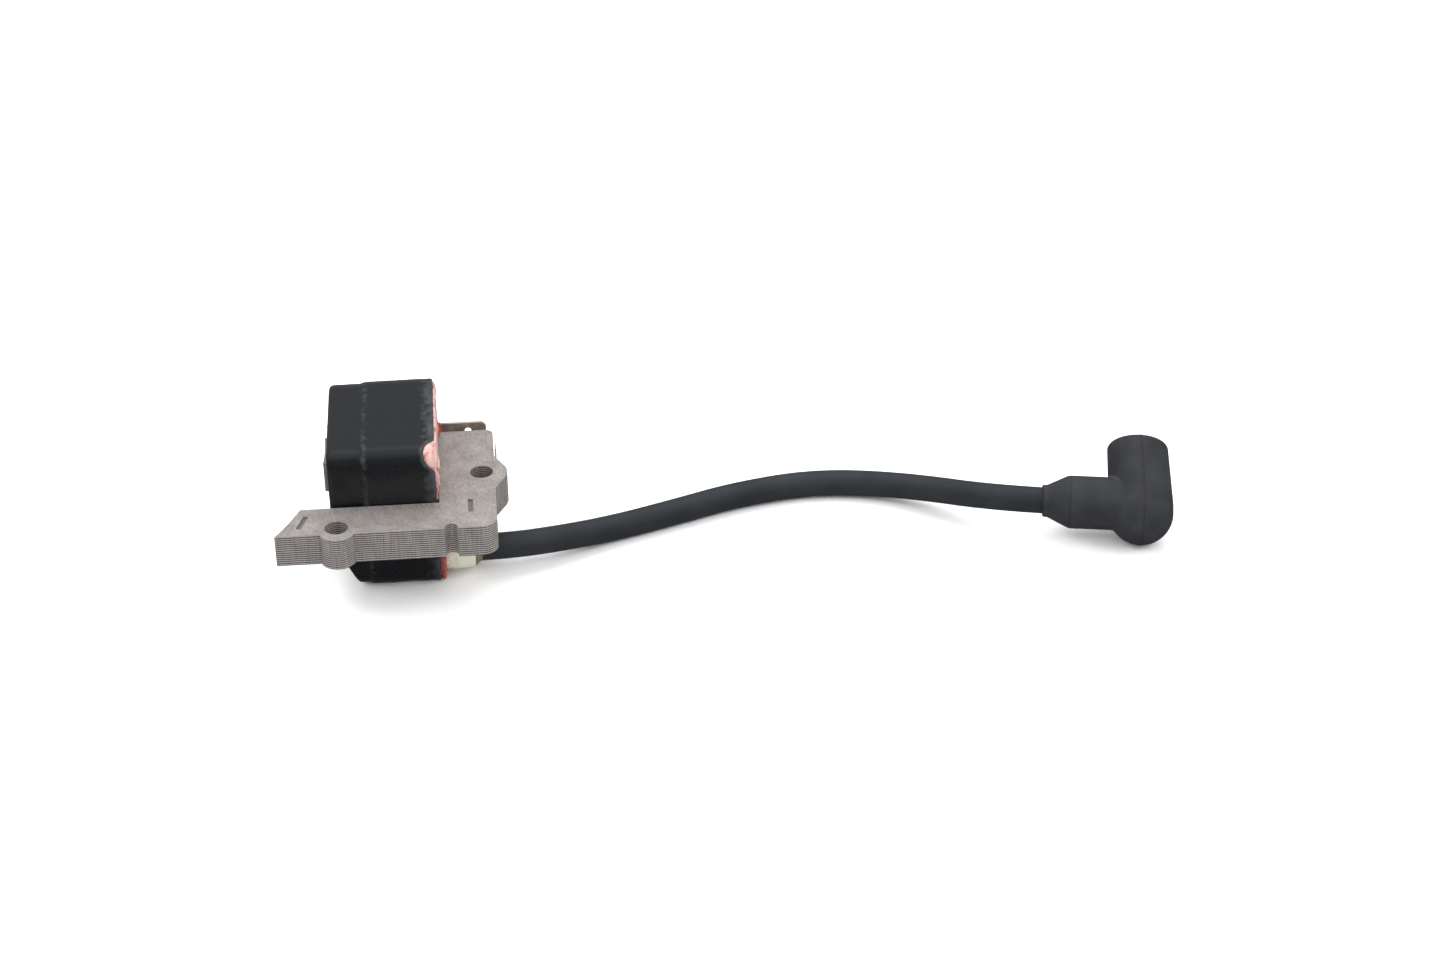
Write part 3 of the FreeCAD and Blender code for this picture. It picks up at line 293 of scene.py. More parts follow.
face = add(steel, "ShaderNodeMix", {0: face_share.outputs[0], 6: paint("#69645f"), 7: paint("#a09b98")},
           data_type="RGBA")
corner = add(steel, "ShaderNodeSeparateXYZ", {0: here})
above = add(steel, "ShaderNodeMath", {0: corner.outputs["Z"], 1: core_bottom}, operation="SUBTRACT")
stacked = add(steel, "ShaderNodeMath", {0: above.outputs[0], 1: plate_thickness}, operation="DIVIDE")
within = add(steel, "ShaderNodeMath", {0: stacked.outputs[0]}, operation="FRACT")
bands = add(steel, "ShaderNodeValToRGB", {0: within.outputs[0]})
ramp = bands.color_ramp
ramp.elements[0].position = 0.0
ramp.elements[0].color = paint("#2a2625")
ramp.elements[1].position = 1.0
ramp.elements[1].color = paint("#3a3534")
for spot, shade in [(0.14, "#45413f"), (0.28, "#736e6c"), (0.5, "#9d9895"), (0.84, "#b7b2af")]:
    ramp.elements.new(spot).color = paint(shade)
drawn = add(steel, "ShaderNodeMapping", {"Vector": here, "Scale": (1, 1, 0.06)})
drag = add(steel, "ShaderNodeTexNoise", {"Vector": drawn.outputs[0], "Scale": 1 / (0.4 * MM), "Detail": 3})
drag_share = add(steel, "ShaderNodeMapRange",
                 {"Value": drag.outputs["Fac"], "From Min": 0.3, "From Max": 0.7,
                  "To Min": 0.72, "To Max": 1.15})
edge = add(steel, "ShaderNodeVectorMath", {0: bands.outputs["Color"]}, operation="SCALE")
steel.node_tree.links.new(drag_share.outputs[0], edge.inputs["Scale"])
facing = add(steel, "ShaderNodeSeparateXYZ", {0: place.outputs["Normal"]})
upright = add(steel, "ShaderNodeMath", {0: facing.outputs["Z"]}, operation="ABSOLUTE")
is_edge = add(steel, "ShaderNodeMath", {0: upright.outputs[0], 1: 0.5}, operation="LESS_THAN")
colour = add(steel, "ShaderNodeMix", {0: is_edge.outputs[0], 6: face.outputs[2], 7: edge.outputs[0]},
             data_type="RGBA")
# Painted shade: flat faces sunk more than 0.2 mm below the core's top, the dimples' floors, are darkened.
UNDER_TOP = 0.2 * MM
sunk = add(steel, "ShaderNodeMath", {0: corner.outputs["Z"], 1: core_top - UNDER_TOP},
           operation="LESS_THAN")
is_face = add(steel, "ShaderNodeMath", {0: upright.outputs[0], 1: 0.5}, operation="GREATER_THAN")
dimple_shade_mask = add(steel, "ShaderNodeMath", {0: sunk.outputs[0], 1: is_face.outputs[0]}, operation="MULTIPLY")
shade = add(steel, "ShaderNodeMath", {0: dimple_shade_mask.outputs[0], 1: 0.55}, operation="MULTIPLY")
colour = add(steel, "ShaderNodeMix", {0: shade.outputs[0], 6: colour.outputs[2], 7: paint("#3f3a38")},
             data_type="RGBA")
gloss = add(steel, "ShaderNodeMapRange", {"Value": grain.outputs["Fac"], "To Min": 0.42, "To Max": 0.66})
relief = add(steel, "ShaderNodeMix", {0: is_edge.outputs[0], 2: grain.outputs["Fac"], 3: within.outputs[0]})
bump = add(steel, "ShaderNodeBump", {"Height": relief.outputs[0], "Strength": 0.4, "Distance": 0.04 * MM})
surface(steel, Base_Color=colour.outputs[2], Roughness=gloss.outputs[0], Normal=bump.outputs[0])
coat(core_names, steel)

# Coil case
# A cup moulded in black glass-filled nylon, open towards the yoke, with a smaller closed end and a
# sloping heel. Its skin is slick and a little wavy; the rim is scuffed grey, and a lighter grey band
# on the shoulder is a painted highlight.
case = bpy.data.objects.new("case_shell", nodes["coil_case"].data.copy())
bpy.context.scene.collection.objects.link(case)


def shape(piece, kind, **settings):
    """Adds a modifier to a piece and applies it."""
    only(piece)
    modifier = piece.modifiers.new(kind.lower(), kind)
    for name, value in settings.items():
        setattr(modifier, name, value)
    bpy.ops.object.modifier_apply(modifier=modifier.name)


merge(case)
shape(case, "REMESH", mode="VOXEL", voxel_size=0.42 * MM, use_smooth_shade=True)
shape(case, "SMOOTH", factor=0.5, iterations=6)
waves = bpy.data.textures.new("moulding_waves", "CLOUDS")
waves.noise_scale = 7 * MM
shape(case, "DISPLACE", texture=waves, texture_coords="LOCAL", strength=0.18 * MM, mid_level=0.5)
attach(case, "coil")
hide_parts("coil_case")

# Glass-filled nylon, injection moulded: near black and semi-gloss, with a 0.5 mm orange peel. Scuffs
# turn it hazy grey along the last 4 mm of the rim and round the notch; the grey band on the shoulder
# is a painted highlight, mixed into the same haze.
nylon = new_finish("glass_filled_nylon", "#17191c", 0.3, IOR=1.53)
place = add(nylon, "ShaderNodeTexCoord", {})
here = place.outputs["Object"]
corner = add(nylon, "ShaderNodeSeparateXYZ", {0: here})
case_low, case_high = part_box("coil_case")
rim_x = case_high.x
NOSE_LENGTH = 8.4 * MM
NOTCH_SETBACK = 1.24 * MM
shoulder_x = case_low.x + NOSE_LENGTH
cloud = add(nylon, "ShaderNodeTexNoise",
            {"Vector": here, "Scale": 1 / (1.8 * MM), "Detail": 5, "Roughness": 0.65})
peel = add(nylon, "ShaderNodeTexNoise", {"Vector": here, "Scale": 1 / (0.5 * MM), "Detail": 1})
sweep = add(nylon, "ShaderNodeTexNoise", {"Vector": here, "Scale": 1 / (9 * MM), "Detail": 2})
near_rim = add(nylon, "ShaderNodeMapRange",
               {"Value": corner.outputs["X"], "From Min": rim_x - 4.5 * MM, "From Max": rim_x - 0.3 * MM,
                "To Min": 0.0, "To Max": 0.42})
# Painted highlight: a lighter grey band just past the shoulder's step, added into the scuff haze.
past_shoulder = add(nylon, "ShaderNodeMath", {0: corner.outputs["X"], 1: shoulder_x + 1.0 * MM},
                    operation="SUBTRACT")
from_shoulder = add(nylon, "ShaderNodeMath", {0: past_shoulder.outputs[0]}, operation="ABSOLUTE")
shoulder_painted_highlight = add(nylon, "ShaderNodeMapRange",
                    {"Value": from_shoulder.outputs[0], "From Min": 0.3 * MM, "From Max": 1.3 * MM,
                     "To Min": 0.2, "To Max": 0.0})
notch_centre = (rim_x + NOTCH_SETBACK, case_low.y + NOTCH_SETBACK, case_high.z - NOTCH_SETBACK)
off_notch = add(nylon, "ShaderNodeVectorMath", {0: here, 1: notch_centre}, operation="DISTANCE")
near_notch = add(nylon, "ShaderNodeMapRange",
                 {"Value": off_notch.outputs["Value"], "From Min": 4.4 * MM, "From Max": 5.6 * MM,
                  "To Min": 0.35, "To Max": 0.0})
scuffs_and_highlight = add(nylon, "ShaderNodeMath", {0: near_rim.outputs[0], 1: shoulder_painted_highlight.outputs[0]}, operation="ADD")
scuffs_and_highlight = add(nylon, "ShaderNodeMath", {0: scuffs_and_highlight.outputs[0], 1: near_notch.outputs[0]}, operation="ADD")
wear_and_highlight = add(nylon, "ShaderNodeMath", {0: scuffs_and_highlight.outputs[0], 1: cloud.outputs["Fac"]}, operation="ADD")
haze_and_highlight = add(nylon, "ShaderNodeMapRange",
           {"Value": wear_and_highlight.outputs[0], "From Min": 0.64, "From Max": 1.0, "To Min": 0.0, "To Max": 0.6})
colour = add(nylon, "ShaderNodeMix", {0: haze_and_highlight.outputs[0], 6: paint("#131518"), 7: paint("#505154")},
             data_type="RGBA")
streaky = add(nylon, "ShaderNodeMapRange", {"Value": sweep.outputs["Fac"], "To Min": 0.2, "To Max": 0.36})
gloss = add(nylon, "ShaderNodeMath", {0: haze_and_highlight.outputs[0], 1: 0.35, 2: streaky.outputs[0]},
            operation="MULTIPLY_ADD")
bump = add(nylon, "ShaderNodeBump", {"Height": peel.outputs["Fac"], "Strength": 0.12, "Distance": 0.04 * MM})
surface(nylon, Base_Color=colour.outputs[2], Roughness=gloss.outputs[0], Normal=bump.outputs[0])
dress(case, nylon)

# Potting
# Epoxy poured into the case from the open end, which buries the windings and the circuit. It sets
# with an uneven skin a little proud of the rim: chalky pink where it is thin, deep red where it pools.
pour = bpy.data.objects.new("potting_pour", nodes["potting_compound"].data.copy())
bpy.context.scene.collection.objects.link(pour)
merge(pour)
shape(pour, "REMESH", mode="VOXEL", voxel_size=0.45 * MM, use_smooth_shade=True)
shape(pour, "SMOOTH", factor=0.5, iterations=3)
SKIN_DEPTH = 0.3 * MM
skin = pour.vertex_groups.new(name="open_face")
for vertex in pour.data.vertices:
    proud = (vertex.co.x - rim_x) / SKIN_DEPTH
    if proud > 0:
        skin.add([vertex.index], min(proud, 1.0), "REPLACE")
ripple = bpy.data.textures.new("pour_ripple", "CLOUDS")
ripple.noise_scale = 3.5 * MM
shape(pour, "DISPLACE", texture=ripple, texture_coords="LOCAL", direction="X", strength=0.9 * MM,
      mid_level=0.95, vertex_group="open_face")
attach(pour, "coil")
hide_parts("potting_compound")

# Filled epoxy: pinkish white with chalk, veined with red pigment 2.5 mm across. Below the core, and
# where it wets the tab, the red is deep and glossy.
epoxy = new_finish("filled_casting_epoxy", "#c98f88", 0.35, IOR=1.55, Subsurface_Weight=0.08)
bleed(epoxy, (1 * MM, 0.4 * MM, 0.3 * MM))
place = add(epoxy, "ShaderNodeTexCoord", {})
here = place.outputs["Object"]
corner = add(epoxy, "ShaderNodeSeparateXYZ", {0: here})
veins = add(epoxy, "ShaderNodeTexNoise",
            {"Vector": here, "Scale": 1 / (2.5 * MM), "Detail": 5, "Distortion": 0.8})
specks = add(epoxy, "ShaderNodeTexNoise", {"Vector": here, "Scale": 1 / (0.35 * MM), "Detail": 2})
low_down = add(epoxy, "ShaderNodeMapRange",
               {"Value": corner.outputs["Z"], "From Min": core_bottom, "From Max": core_bottom - 6 * MM,
                "To Min": 0.0, "To Max": 0.22})
tab_low, tab_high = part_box("kill_terminal")
BURIED_TAB = 4.9 * MM
tab_root = (tab_low.x + BURIED_TAB, tab_low.y, (tab_low.z + tab_high.z) / 2)
off_tab = add(epoxy, "ShaderNodeVectorMath", {0: here, 1: tab_root}, operation="DISTANCE")
near_tab = add(epoxy, "ShaderNodeMapRange",
               {"Value": off_tab.outputs["Value"], "From Min": 3 * MM, "From Max": 7 * MM,
                "To Min": 0.4, "To Max": 0.0})
pooled = add(epoxy, "ShaderNodeMath", {0: veins.outputs["Fac"], 1: low_down.outputs[0]}, operation="ADD")
pooled = add(epoxy, "ShaderNodeMath", {0: pooled.outputs[0], 1: near_tab.outputs[0]}, operation="ADD")
red = add(epoxy, "ShaderNodeMapRange", {"Value": pooled.outputs[0], "From Min": 0.5, "From Max": 0.68})
deep = add(epoxy, "ShaderNodeMix", {0: specks.outputs["Fac"], 6: paint("#83362d"), 7: paint("#ae5f55")},
           data_type="RGBA")
chalky = add(epoxy, "ShaderNodeMix", {0: specks.outputs["Fac"], 6: paint("#b58680"), 7: paint("#dbbcb6")},
             data_type="RGBA")
colour = add(epoxy, "ShaderNodeMix", {0: red.outputs[0], 6: chalky.outputs[2], 7: deep.outputs[2]},
             data_type="RGBA")
gloss = add(epoxy, "ShaderNodeMapRange", {"Value": red.outputs[0], "To Min": 0.6, "To Max": 0.28})
bump = add(epoxy, "ShaderNodeBump", {"Height": specks.outputs["Fac"], "Strength": 0.4, "Distance": 0.08 * MM})
surface(epoxy, Base_Color=colour.outputs[2], Roughness=gloss.outputs[0], Normal=bump.outputs[0])
dress(pour, epoxy)

# Resin that crept
# Before it set, the epoxy wetted what stands in it: it climbed the root of the tab and the collar,
# and one run hangs from the rim's lowest corner.
collar_low, collar_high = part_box("lead_collar")
collar_axis = (collar_low.y + collar_high.y) / 2, (collar_low.z + collar_high.z) / 2
POUR_PROUD = 0.7 * MM
face_x = rim_x + POUR_PROUD
bpy.ops.object.select_all(action="DESELECT")
tab_middle = (face_x, tab_root[1] + 0.4 * MM, tab_root[2])
blobs = []
for spot, size in [
    (tab_middle, (1.3, 1.0, 2.9)),
    ((face_x - 0.2 * MM, tab_low.y - 1.5 * MM, tab_root[2] + 1.2 * MM), (0.7, 2.2, 1.4)),
    ((face_x - 0.1 * MM, case_low.y + 2.4 * MM, 1.3 * MM), (0.7, 1.5, 1.0)),
    ((face_x - 0.1 * MM, case_low.y + 1.6 * MM, 3.2 * MM), (0.6, 1.0, 1.9)),
    ((face_x, case_low.y + 3.2 * MM, case_high.z - 5.5 * MM), (0.6, 1.4, 2.2)),
    ((face_x - 0.1 * MM, case_low.y + 1.7 * MM, case_high.z - 9.5 * MM), (0.5, 0.9, 1.8)),
]:
    bpy.ops.mesh.primitive_uv_sphere_add(segments=32, ring_count=16, radius=1 * MM, location=spot)
    blob = bpy.context.object
    bpy.ops.object.mode_set(mode="EDIT")
    bpy.ops.transform.resize(value=size, center_override=spot)
    bpy.ops.object.mode_set(mode="OBJECT")
    blobs.append(blob)
bpy.ops.mesh.primitive_torus_add(
    location=(face_x, *collar_axis), rotation=(0, math.radians(90), 0),
    major_radius=(collar_high.z - collar_low.z) / 2, minor_radius=0.75 * MM,
    major_segments=64, minor_segments=16)
blobs.append(bpy.context.object)
for blob in blobs:
    blob.select_set(True)
bpy.ops.object.join()
creep = bpy.context.object
creep.name = "resin_creep"
bpy.ops.object.transform_apply(location=True, rotation=True, scale=True)
shape(creep, "REMESH", mode="VOXEL", voxel_size=0.16 * MM, use_smooth_shade=True)
shape(creep, "SMOOTH", factor=0.5, iterations=8)
runs = bpy.data.textures.new("resin_runs", "CLOUDS")
runs.noise_scale = 1.2 * MM
shape(creep, "DISPLACE", texture=runs, texture_coords="LOCAL", strength=0.35 * MM, mid_level=0.6)
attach(creep, "coil")
dress(creep, epoxy)

# Stop-switch tab and earth tag
# Both are pressed from tinned steel strip and cast into the potting. The tab takes the stop wire's
# push-on receptacle. The tag's ring lies under the rear lug, where the screw earths the coil.

# Tin-plated steel strip: grey and dull, with brown flux and handling stains in patches 3 mm across,
# and rolling marks 0.2 mm apart along the strip. Faces turned to the front are painted darker brown
# as painted shade.
tinned = new_finish("tinned_steel_strip", "#8f8a82", 0.42, Metallic=0.3)
place = add(tinned, "ShaderNodeTexCoord", {})
here = place.outputs["Object"]
stains = add(tinned, "ShaderNodeTexNoise", {"Vector": here, "Scale": 1 / (3 * MM), "Detail": 5})
along = add(tinned, "ShaderNodeMapping", {"Vector": here, "Scale": (0.05, 1, 1)})
marks = add(tinned, "ShaderNodeTexNoise", {"Vector": along.outputs[0], "Scale": 1 / (0.2 * MM), "Detail": 2})
facing = add(tinned, "ShaderNodeSeparateXYZ", {0: place.outputs["Normal"]})
# Painted shade: faces turned towards the front (normal towards -Y) get up to 0.3 more of the brown stain
# colour.
front = add(tinned, "ShaderNodeMapRange",
            {"Value": facing.outputs["Y"], "From Min": -0.3, "From Max": -0.9, "To Min": 0.0, "To Max": 0.3})
grime_and_shade = add(tinned, "ShaderNodeMath", {0: stains.outputs["Fac"], 1: front.outputs[0]}, operation="ADD")
stain_and_shade = add(tinned, "ShaderNodeMapRange", {"Value": grime_and_shade.outputs[0], "From Min": 0.45, "From Max": 0.85})
colour = add(tinned, "ShaderNodeMix", {0: stain_and_shade.outputs[0], 6: paint("#a8a298"), 7: paint("#7b7064")},
             data_type="RGBA")
gloss = add(tinned, "ShaderNodeMapRange", {"Value": stain_and_shade.outputs[0], "To Min": 0.32, "To Max": 0.6})
bump = add(tinned, "ShaderNodeBump", {"Height": marks.outputs["Fac"], "Strength": 0.3, "Distance": 0.02 * MM})
surface(tinned, Base_Color=colour.outputs[2], Roughness=gloss.outputs[0], Normal=bump.outputs[0])
coat(["kill_terminal", "ground_tag"], tinned)

# Outlet collar
# A natural nylon sleeve, cast into the potting at its root. It holds the lead straight where it comes
# out, and its face takes the sealant.

# Natural nylon, moulded: ivory and slightly waxy, pink from resin over its root, tan at the end's edge.
ivory = new_finish("natural_moulded_nylon", "#dcdccb", 0.42, IOR=1.53, Subsurface_Weight=0.15)
bleed(ivory, (1 * MM, 0.8 * MM, 0.5 * MM))
place = add(ivory, "ShaderNodeTexCoord", {})
here = place.outputs["Object"]
corner = add(ivory, "ShaderNodeSeparateXYZ", {0: here})
smears = add(ivory, "ShaderNodeTexNoise", {"Vector": here, "Scale": 1 / (1.6 * MM), "Detail": 4})
root = add(ivory, "ShaderNodeMapRange",
           {"Value": corner.outputs["X"], "From Min": face_x + 0.4 * MM, "From Max": face_x + 4.5 * MM,
            "To Min": 0.42, "To Max": 0.0})
wet = add(ivory, "ShaderNodeMath", {0: smears.outputs["Fac"], 1: root.outputs[0]}, operation="ADD")
pinked = add(ivory, "ShaderNodeMapRange",
             {"Value": wet.outputs[0], "From Min": 0.6, "From Max": 0.95, "To Min": 0.0, "To Max": 0.6})
clean = add(ivory, "ShaderNodeMix", {0: pinked.outputs[0], 6: paint("#d3d3c3"), 7: paint("#c0937c")},
            data_type="RGBA")
tip = add(ivory, "ShaderNodeMapRange",
          {"Value": corner.outputs["X"], "From Min": collar_high.x - 0.5 * MM, "From Max": collar_high.x,
           "To Min": 0.0, "To Max": 0.55})
colour = add(ivory, "ShaderNodeMix", {0: tip.outputs[0], 6: clean.outputs[2], 7: paint("#a89f78")},
             data_type="RGBA")
bump = add(ivory, "ShaderNodeBump", {"Height": smears.outputs["Fac"], "Strength": 0.15, "Distance": 0.1 * MM})
surface(ivory, Base_Color=colour.outputs[2], Normal=bump.outputs[0])
coat(["lead_collar"], ivory)

# Sealant
# A bead of brown sealant run round the lead by hand where it leaves the collar. It keeps water out,
# and it thins to a feather edge on the jacket.
BEAD_LAP = 0.1 * MM
BEAD_RADIUS = 4.7 * MM
bead_x = collar_high.x - BEAD_LAP
bpy.ops.object.select_all(action="DESELECT")
bpy.ops.mesh.primitive_circle_add(
    vertices=64, radius=BEAD_RADIUS, fill_type="NGON", location=(bead_x, *collar_axis),
    rotation=(0, math.radians(90), 0))
bead = bpy.context.object
bead.name = "sealant_bead"
bpy.ops.object.transform_apply(location=True, rotation=True, scale=True)
bpy.ops.object.mode_set(mode="EDIT")
bpy.ops.mesh.select_all(action="SELECT")
for step, shrink in [(0.35, 0.95), (0.35, 0.92), (0.35, 0.92), (0.4, 0.93), (0.5, 0.96)]:
    bpy.ops.mesh.extrude_region_move(TRANSFORM_OT_translate={"value": (step * MM, 0, 0)})
    bpy.ops.transform.resize(value=(1, shrink, shrink))
bpy.ops.mesh.select_all(action="SELECT")
bpy.ops.mesh.normals_make_consistent(inside=False)
bpy.ops.object.mode_set(mode="OBJECT")
shape(bead, "REMESH", mode="VOXEL", voxel_size=0.16 * MM, use_smooth_shade=True)
shape(bead, "SMOOTH", factor=0.5, iterations=6)
hand = bpy.data.textures.new("hand_run_bead", "CLOUDS")
hand.noise_scale = 1.8 * MM
shape(bead, "DISPLACE", texture=hand, texture_coords="LOCAL", strength=0.35 * MM, mid_level=0.55)
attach(bead, "coil")
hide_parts("lead_sealant")

# Air-cured rubber sealant: muddy brown, satin, with smears 1 mm across.
mud = new_finish("air_cured_sealant", "#6b6049", 0.55, IOR=1.45)
place = add(mud, "ShaderNodeTexCoord", {})
smears = add(mud, "ShaderNodeTexNoise",
             {"Vector": place.outputs["Object"], "Scale": 1 / (1 * MM), "Detail": 4})
colour = add(mud, "ShaderNodeMix", {0: smears.outputs["Fac"], 6: paint("#3f3829"), 7: paint("#8b7e63")},
             data_type="RGBA")
bump = add(mud, "ShaderNodeBump", {"Height": smears.outputs["Fac"], "Strength": 0.3, "Distance": 0.1 * MM})
surface(mud, Base_Color=colour.outputs[2], Normal=bump.outputs[0])
dress(bead, mud)

# Plug boot
# A right-angle cap moulded in soft rubber in a two-part mould, whose line runs over the barrel. It
# grips the lead at its mouth and turns on it, and the plug goes into the open end of the barrel.
boot = bpy.data.objects.new("boot_moulding", nodes["plug_boot"].data.copy())
bpy.context.scene.collection.objects.link(boot)
merge(boot)
shape(boot, "REMESH", mode="VOXEL", voxel_size=0.26 * MM, use_smooth_shade=True)

swivel = frame["joints"][0]
heading = Vector(swivel["axis"])
BARREL_PITCH = math.radians(30)
level_way = Vector((-heading.y, heading.x, 0))
barrel_way = level_way * math.cos(BARREL_PITCH) + Vector((0, 0, math.sin(BARREL_PITCH)))
side_way = heading.cross(barrel_way)
GRIP_TO_ELBOW = 14.3 * MM
elbow = Vector(swivel["pos_m"]) + heading * GRIP_TO_ELBOW
INLET_RADIUS = 7.0 * MM
BARREL_RADIUS = 8.5 * MM
INLET_LENGTH = 25.8 * MM
CONE_LENGTH = 7.0 * MM
BARREL_LENGTH = 17.1 * MM
OPEN_END_TAPER = 0.05
OPEN_END_LEAN = 0.06
CROTCH_REACH = 1.6 * MM
DUST_REACH = 2.2 * MM
LINE_WIDTH = 0.35 * MM
CLEAR_OF_INLET = 9.5 * MM
BARREL_SKIN = 7.2 * MM
BARREL_SIDE = 9.2 * MM
DOME_DEPTH = 2 * MM
FAR_SIDE = 6 * MM
LINE_SETBACK = 0.3 * MM
SKIN_RISE, SKIN_DIP = 0.10, 0.12
DUST_CLIMB = 7 * MM


def boot_places(spot):
    """How far a spot is along the inlet, along the barrel, and off the line of each."""
    out = spot - elbow
    along_inlet = -out.dot(heading)
    along_barrel = out.dot(barrel_way)
    off_inlet = math.hypot(along_barrel, out.dot(side_way))
    off_barrel = math.hypot(along_inlet, out.dot(side_way))
    return along_inlet, along_barrel, off_inlet, off_barrel


crotch = boot.vertex_groups.new(name="crotch")
for vertex in boot.data.vertices:
    along_inlet, along_barrel, off_inlet, off_barrel = boot_places(vertex.co)
    miss = math.hypot(off_inlet - INLET_RADIUS, off_barrel - BARREL_RADIUS)
    if along_inlet > 0 and miss < CROTCH_REACH:
        crotch.add([vertex.index], 1 - miss / CROTCH_REACH, "REPLACE")
shape(boot, "SMOOTH", factor=0.6, iterations=30, vertex_group="crotch")
shape(boot, "SMOOTH", factor=0.5, iterations=3)

# The open end is drawn in a little, and the mould's line and the cone's edge stand out in the skin.
mould_line = boot.data.attributes.new("mould_line", "FLOAT", "POINT")
crevice = boot.data.attributes.new("crevice", "FLOAT", "POINT")
outward = [vertex.normal.copy() for vertex in boot.data.vertices]
for vertex in boot.data.vertices:
    along_inlet, along_barrel, off_inlet, off_barrel = boot_places(vertex.co)
    on_barrel = off_barrel > BARREL_SKIN and along_inlet < BARREL_SIDE
    on_dome = along_barrel < -DOME_DEPTH
    seam = 0.0
    if (on_barrel or on_dome) and (vertex.co - elbow).dot(side_way) > -FAR_SIDE:
        seam = max(0.0, 1 - abs(along_inlet + LINE_SETBACK) / LINE_WIDTH)
    ring = 0.0
    if along_inlet > CLEAR_OF_INLET:
        ring = max(0.0, 1 - abs(along_inlet - (INLET_LENGTH - CONE_LENGTH)) / LINE_WIDTH)
    mould_line.data[vertex.index].value = max(seam, ring * 0.8)
    miss = math.hypot(off_inlet - INLET_RADIUS, off_barrel - BARREL_RADIUS)
    near = max(0.0, 1 - miss / DUST_REACH) if along_inlet > 0 else 0.0
    upper = max(0.3, min(1.0, (along_barrel + DOME_DEPTH) / DUST_CLIMB))
    crevice.data[vertex.index].value = near * upper
    vertex.co += outward[vertex.index] * (SKIN_RISE * seam - SKIN_DIP * ring) * MM
    drawn_in = OPEN_END_TAPER * max(0.0, min(1.0, along_barrel / BARREL_LENGTH))
    if along_inlet < CLEAR_OF_INLET and along_barrel > 0:
        middle = elbow + barrel_way * along_barrel
        vertex.co -= (vertex.co - middle) * drawn_in
    if along_barrel > 0:
        vertex.co -= heading * along_barrel * OPEN_END_LEAN
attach(boot, "boot")
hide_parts("plug_boot")

# Moulded nitrile rubber: matt charcoal with a 0.3 mm tooth from the mould and cloudy bloom 6 mm
# across. Tan release dust stays in the crotch, and the mould's line is browner than the skin.
rubber = new_finish("moulded_nitrile_rubber", "#35363a", 0.62, IOR=1.5)
place = add(rubber, "ShaderNodeTexCoord", {})
here = place.outputs["Object"]
bloom = add(rubber, "ShaderNodeTexNoise", {"Vector": here, "Scale": 1 / (6 * MM), "Detail": 3})
tooth = add(rubber, "ShaderNodeTexNoise", {"Vector": here, "Scale": 1 / (0.3 * MM), "Detail": 2})
bloomed = add(rubber, "ShaderNodeMapRange",
              {"Value": bloom.outputs["Fac"], "From Min": 0.35, "From Max": 0.7})
skin_tone = add(rubber, "ShaderNodeMix", {0: bloomed.outputs[0], 6: paint("#242529"), 7: paint("#2d2f33")},
                data_type="RGBA")
in_crotch = add(rubber, "ShaderNodeAttribute", {}, attribute_name="crevice")
specks = add(rubber, "ShaderNodeMath", {0: tooth.outputs["Fac"], 1: bloom.outputs["Fac"]}, operation="ADD")
caught = add(rubber, "ShaderNodeMath", {0: specks.outputs[0], 1: in_crotch.outputs["Fac"]},
             operation="MULTIPLY")
dust = add(rubber, "ShaderNodeMapRange",
           {"Value": caught.outputs[0], "From Min": 0.55, "From Max": 1.2, "To Min": 0.0, "To Max": 0.22})
dusty = add(rubber, "ShaderNodeMix", {0: dust.outputs[0], 6: skin_tone.outputs[2], 7: paint("#7d7a63")},
            data_type="RGBA")
on_line = add(rubber, "ShaderNodeAttribute", {}, attribute_name="mould_line")
line_share = add(rubber, "ShaderNodeMath", {0: on_line.outputs["Fac"], 1: 0.7}, operation="MULTIPLY")
colour = add(rubber, "ShaderNodeMix", {0: line_share.outputs[0], 6: dusty.outputs[2], 7: paint("#1c1815")},
             data_type="RGBA")
gloss = add(rubber, "ShaderNodeMapRange", {"Value": bloom.outputs["Fac"], "To Min": 0.5, "To Max": 0.72})
bump = add(rubber, "ShaderNodeBump", {"Height": tooth.outputs["Fac"], "Strength": 0.3, "Distance": 0.05 * MM})
surface(rubber, Base_Color=colour.outputs[2], Roughness=gloss.outputs[0], Normal=bump.outputs[0])
dress(boot, rubber)

# Plug spring
# A close coil of hard-drawn wire inside the boot. Its tail pierces the lead's strand, and the coil
# bites on the plug's terminal.

# Zinc-plated spring wire: bright grey, with draw marks 0.3 mm apart.
wire = new_finish("plated_spring_wire", "#b7b8b6", 0.3, Metallic=1.0)
place = add(wire, "ShaderNodeTexCoord", {})
marks = add(wire, "ShaderNodeTexNoise",
            {"Vector": place.outputs["Object"], "Scale": 1 / (0.3 * MM), "Detail": 3})
colour = add(wire, "ShaderNodeMix", {0: marks.outputs["Fac"], 6: paint("#8d8e8c"), 7: paint("#cfd0cd")},
             data_type="RGBA")
surface(wire, Base_Color=colour.outputs[2])
coat(["plug_spring"], wire)

# Windings and bobbins
# Inside the potting, enamelled copper is wound on two nylon bobbins round the core's short leg: a few
# turns of thick wire for the primary, and thousands of fine turns over it for the secondary.

# Enamelled copper: orange-brown and glossy, with a line for each turn 0.6 mm apart along the leg.
enamel = new_finish("enamelled_copper", "#a85a32", 0.25, Metallic=0.9)
place = add(enamel, "ShaderNodeTexCoord", {})
turns = add(enamel, "ShaderNodeTexWave",
            {"Vector": place.outputs["Object"], "Scale": 1 / (2 * MM), "Distortion": 0.3},
            bands_direction="X")
colour = add(enamel, "ShaderNodeMix", {0: turns.outputs["Fac"], 6: paint("#6e3519"), 7: paint("#bd6c3f")},
             data_type="RGBA")
bump = add(enamel, "ShaderNodeBump", {"Height": turns.outputs["Fac"], "Strength": 0.6, "Distance": 0.2 * MM})
surface(enamel, Base_Color=colour.outputs[2], Normal=bump.outputs[0])
coat(["primary_winding", "secondary_winding"], enamel)

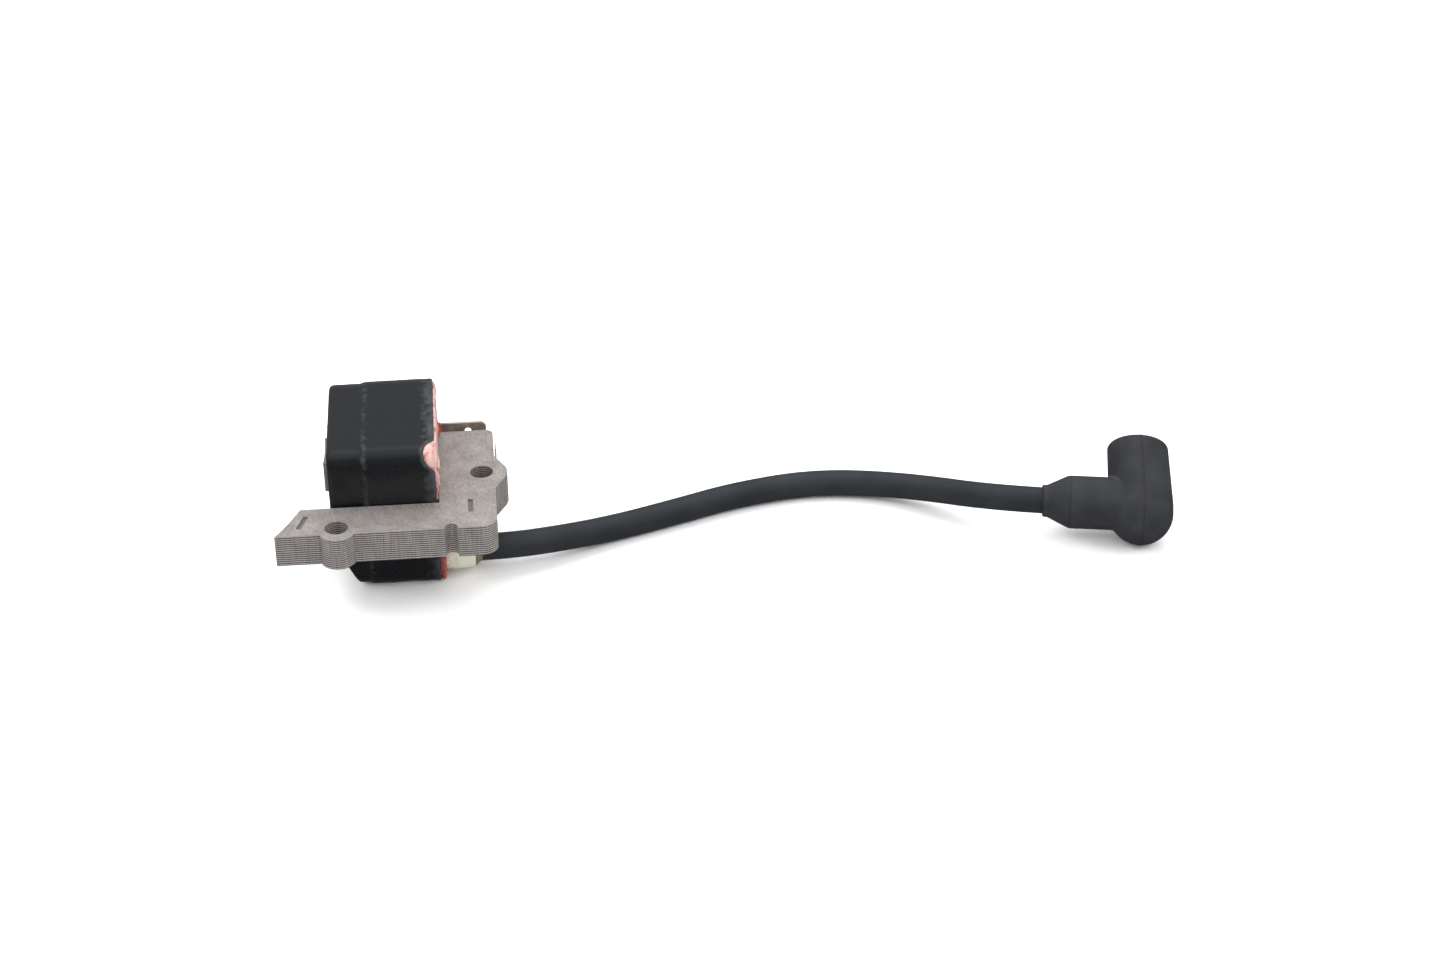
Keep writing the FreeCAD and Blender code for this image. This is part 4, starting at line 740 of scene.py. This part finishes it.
# Moulded nylon: off-white and matt, with flow marks 4 mm across.
bobbin = new_finish("moulded_bobbin_nylon", "#d8d4c6", 0.5, IOR=1.53)
place = add(bobbin, "ShaderNodeTexCoord", {})
flow = add(bobbin, "ShaderNodeTexNoise",
           {"Vector": place.outputs["Object"], "Scale": 1 / (4 * MM), "Detail": 3})
colour = add(bobbin, "ShaderNodeMix", {0: flow.outputs["Fac"], 6: paint("#c8c3b2"), 7: paint("#e2dfd3")},
             data_type="RGBA")
surface(bobbin, Base_Color=colour.outputs[2])
coat(["primary_bobbin", "secondary_bobbin"], bobbin)

# Trigger circuit
# A small board beside the windings carries the capacitor, the thyristor that fires it, the charging
# diode and a resistor. The brass outlet pin takes the high voltage to the lead.

# Glass-epoxy board: olive, with the weave of its cloth 0.6 mm apart.
board = new_finish("glass_epoxy_board", "#7c7440", 0.45, IOR=1.55)
place = add(board, "ShaderNodeTexCoord", {})
weave = add(board, "ShaderNodeTexChecker", {"Vector": place.outputs["Object"], "Scale": 1 / (0.6 * MM),
                                            "Color1": paint("#6e6838"), "Color2": paint("#857d49")})
surface(board, Base_Color=weave.outputs["Color"])
coat(["circuit_board"], board)

# Dipped epoxy coat: orange-brown and shiny, pooled into waves 3 mm across.
dipped = new_finish("dipped_epoxy_coat", "#a8571d", 0.3, IOR=1.55)
place = add(dipped, "ShaderNodeTexCoord", {})
pools = add(dipped, "ShaderNodeTexNoise",
            {"Vector": place.outputs["Object"], "Scale": 1 / (3 * MM), "Detail": 2})
colour = add(dipped, "ShaderNodeMix", {0: pools.outputs["Fac"], 6: paint("#95490f"), 7: paint("#bb6a2c")},
             data_type="RGBA")
surface(dipped, Base_Color=colour.outputs[2])
coat(["storage_capacitor"], dipped)

# Moulded component resin: black, with the spark-eroded tooth of its mould 0.25 mm across.
resin = new_finish("moulded_component_resin", "#1b1b1c", 0.55, IOR=1.55)
place = add(resin, "ShaderNodeTexCoord", {})
tooth = add(resin, "ShaderNodeTexNoise",
            {"Vector": place.outputs["Object"], "Scale": 1 / (0.25 * MM), "Detail": 2})
bump = add(resin, "ShaderNodeBump", {"Height": tooth.outputs["Fac"], "Strength": 0.4, "Distance": 0.03 * MM})
surface(resin, Normal=bump.outputs[0])
coat(["switching_thyristor", "charging_diode", "trigger_resistor"], resin)

# Turned brass: yellow and bright, with tool rings 0.25 mm apart along its axis.
brass = new_finish("turned_brass", "#c9a550", 0.28, Metallic=1.0)
place = add(brass, "ShaderNodeTexCoord", {})
rings = add(brass, "ShaderNodeTexWave", {"Vector": place.outputs["Object"], "Scale": 1 / (0.8 * MM)},
            bands_direction="X")
bump = add(brass, "ShaderNodeBump", {"Height": rings.outputs["Fac"], "Strength": 0.3, "Distance": 0.03 * MM})
surface(brass, Normal=bump.outputs[0])
coat(["ht_output_pin"], brass)
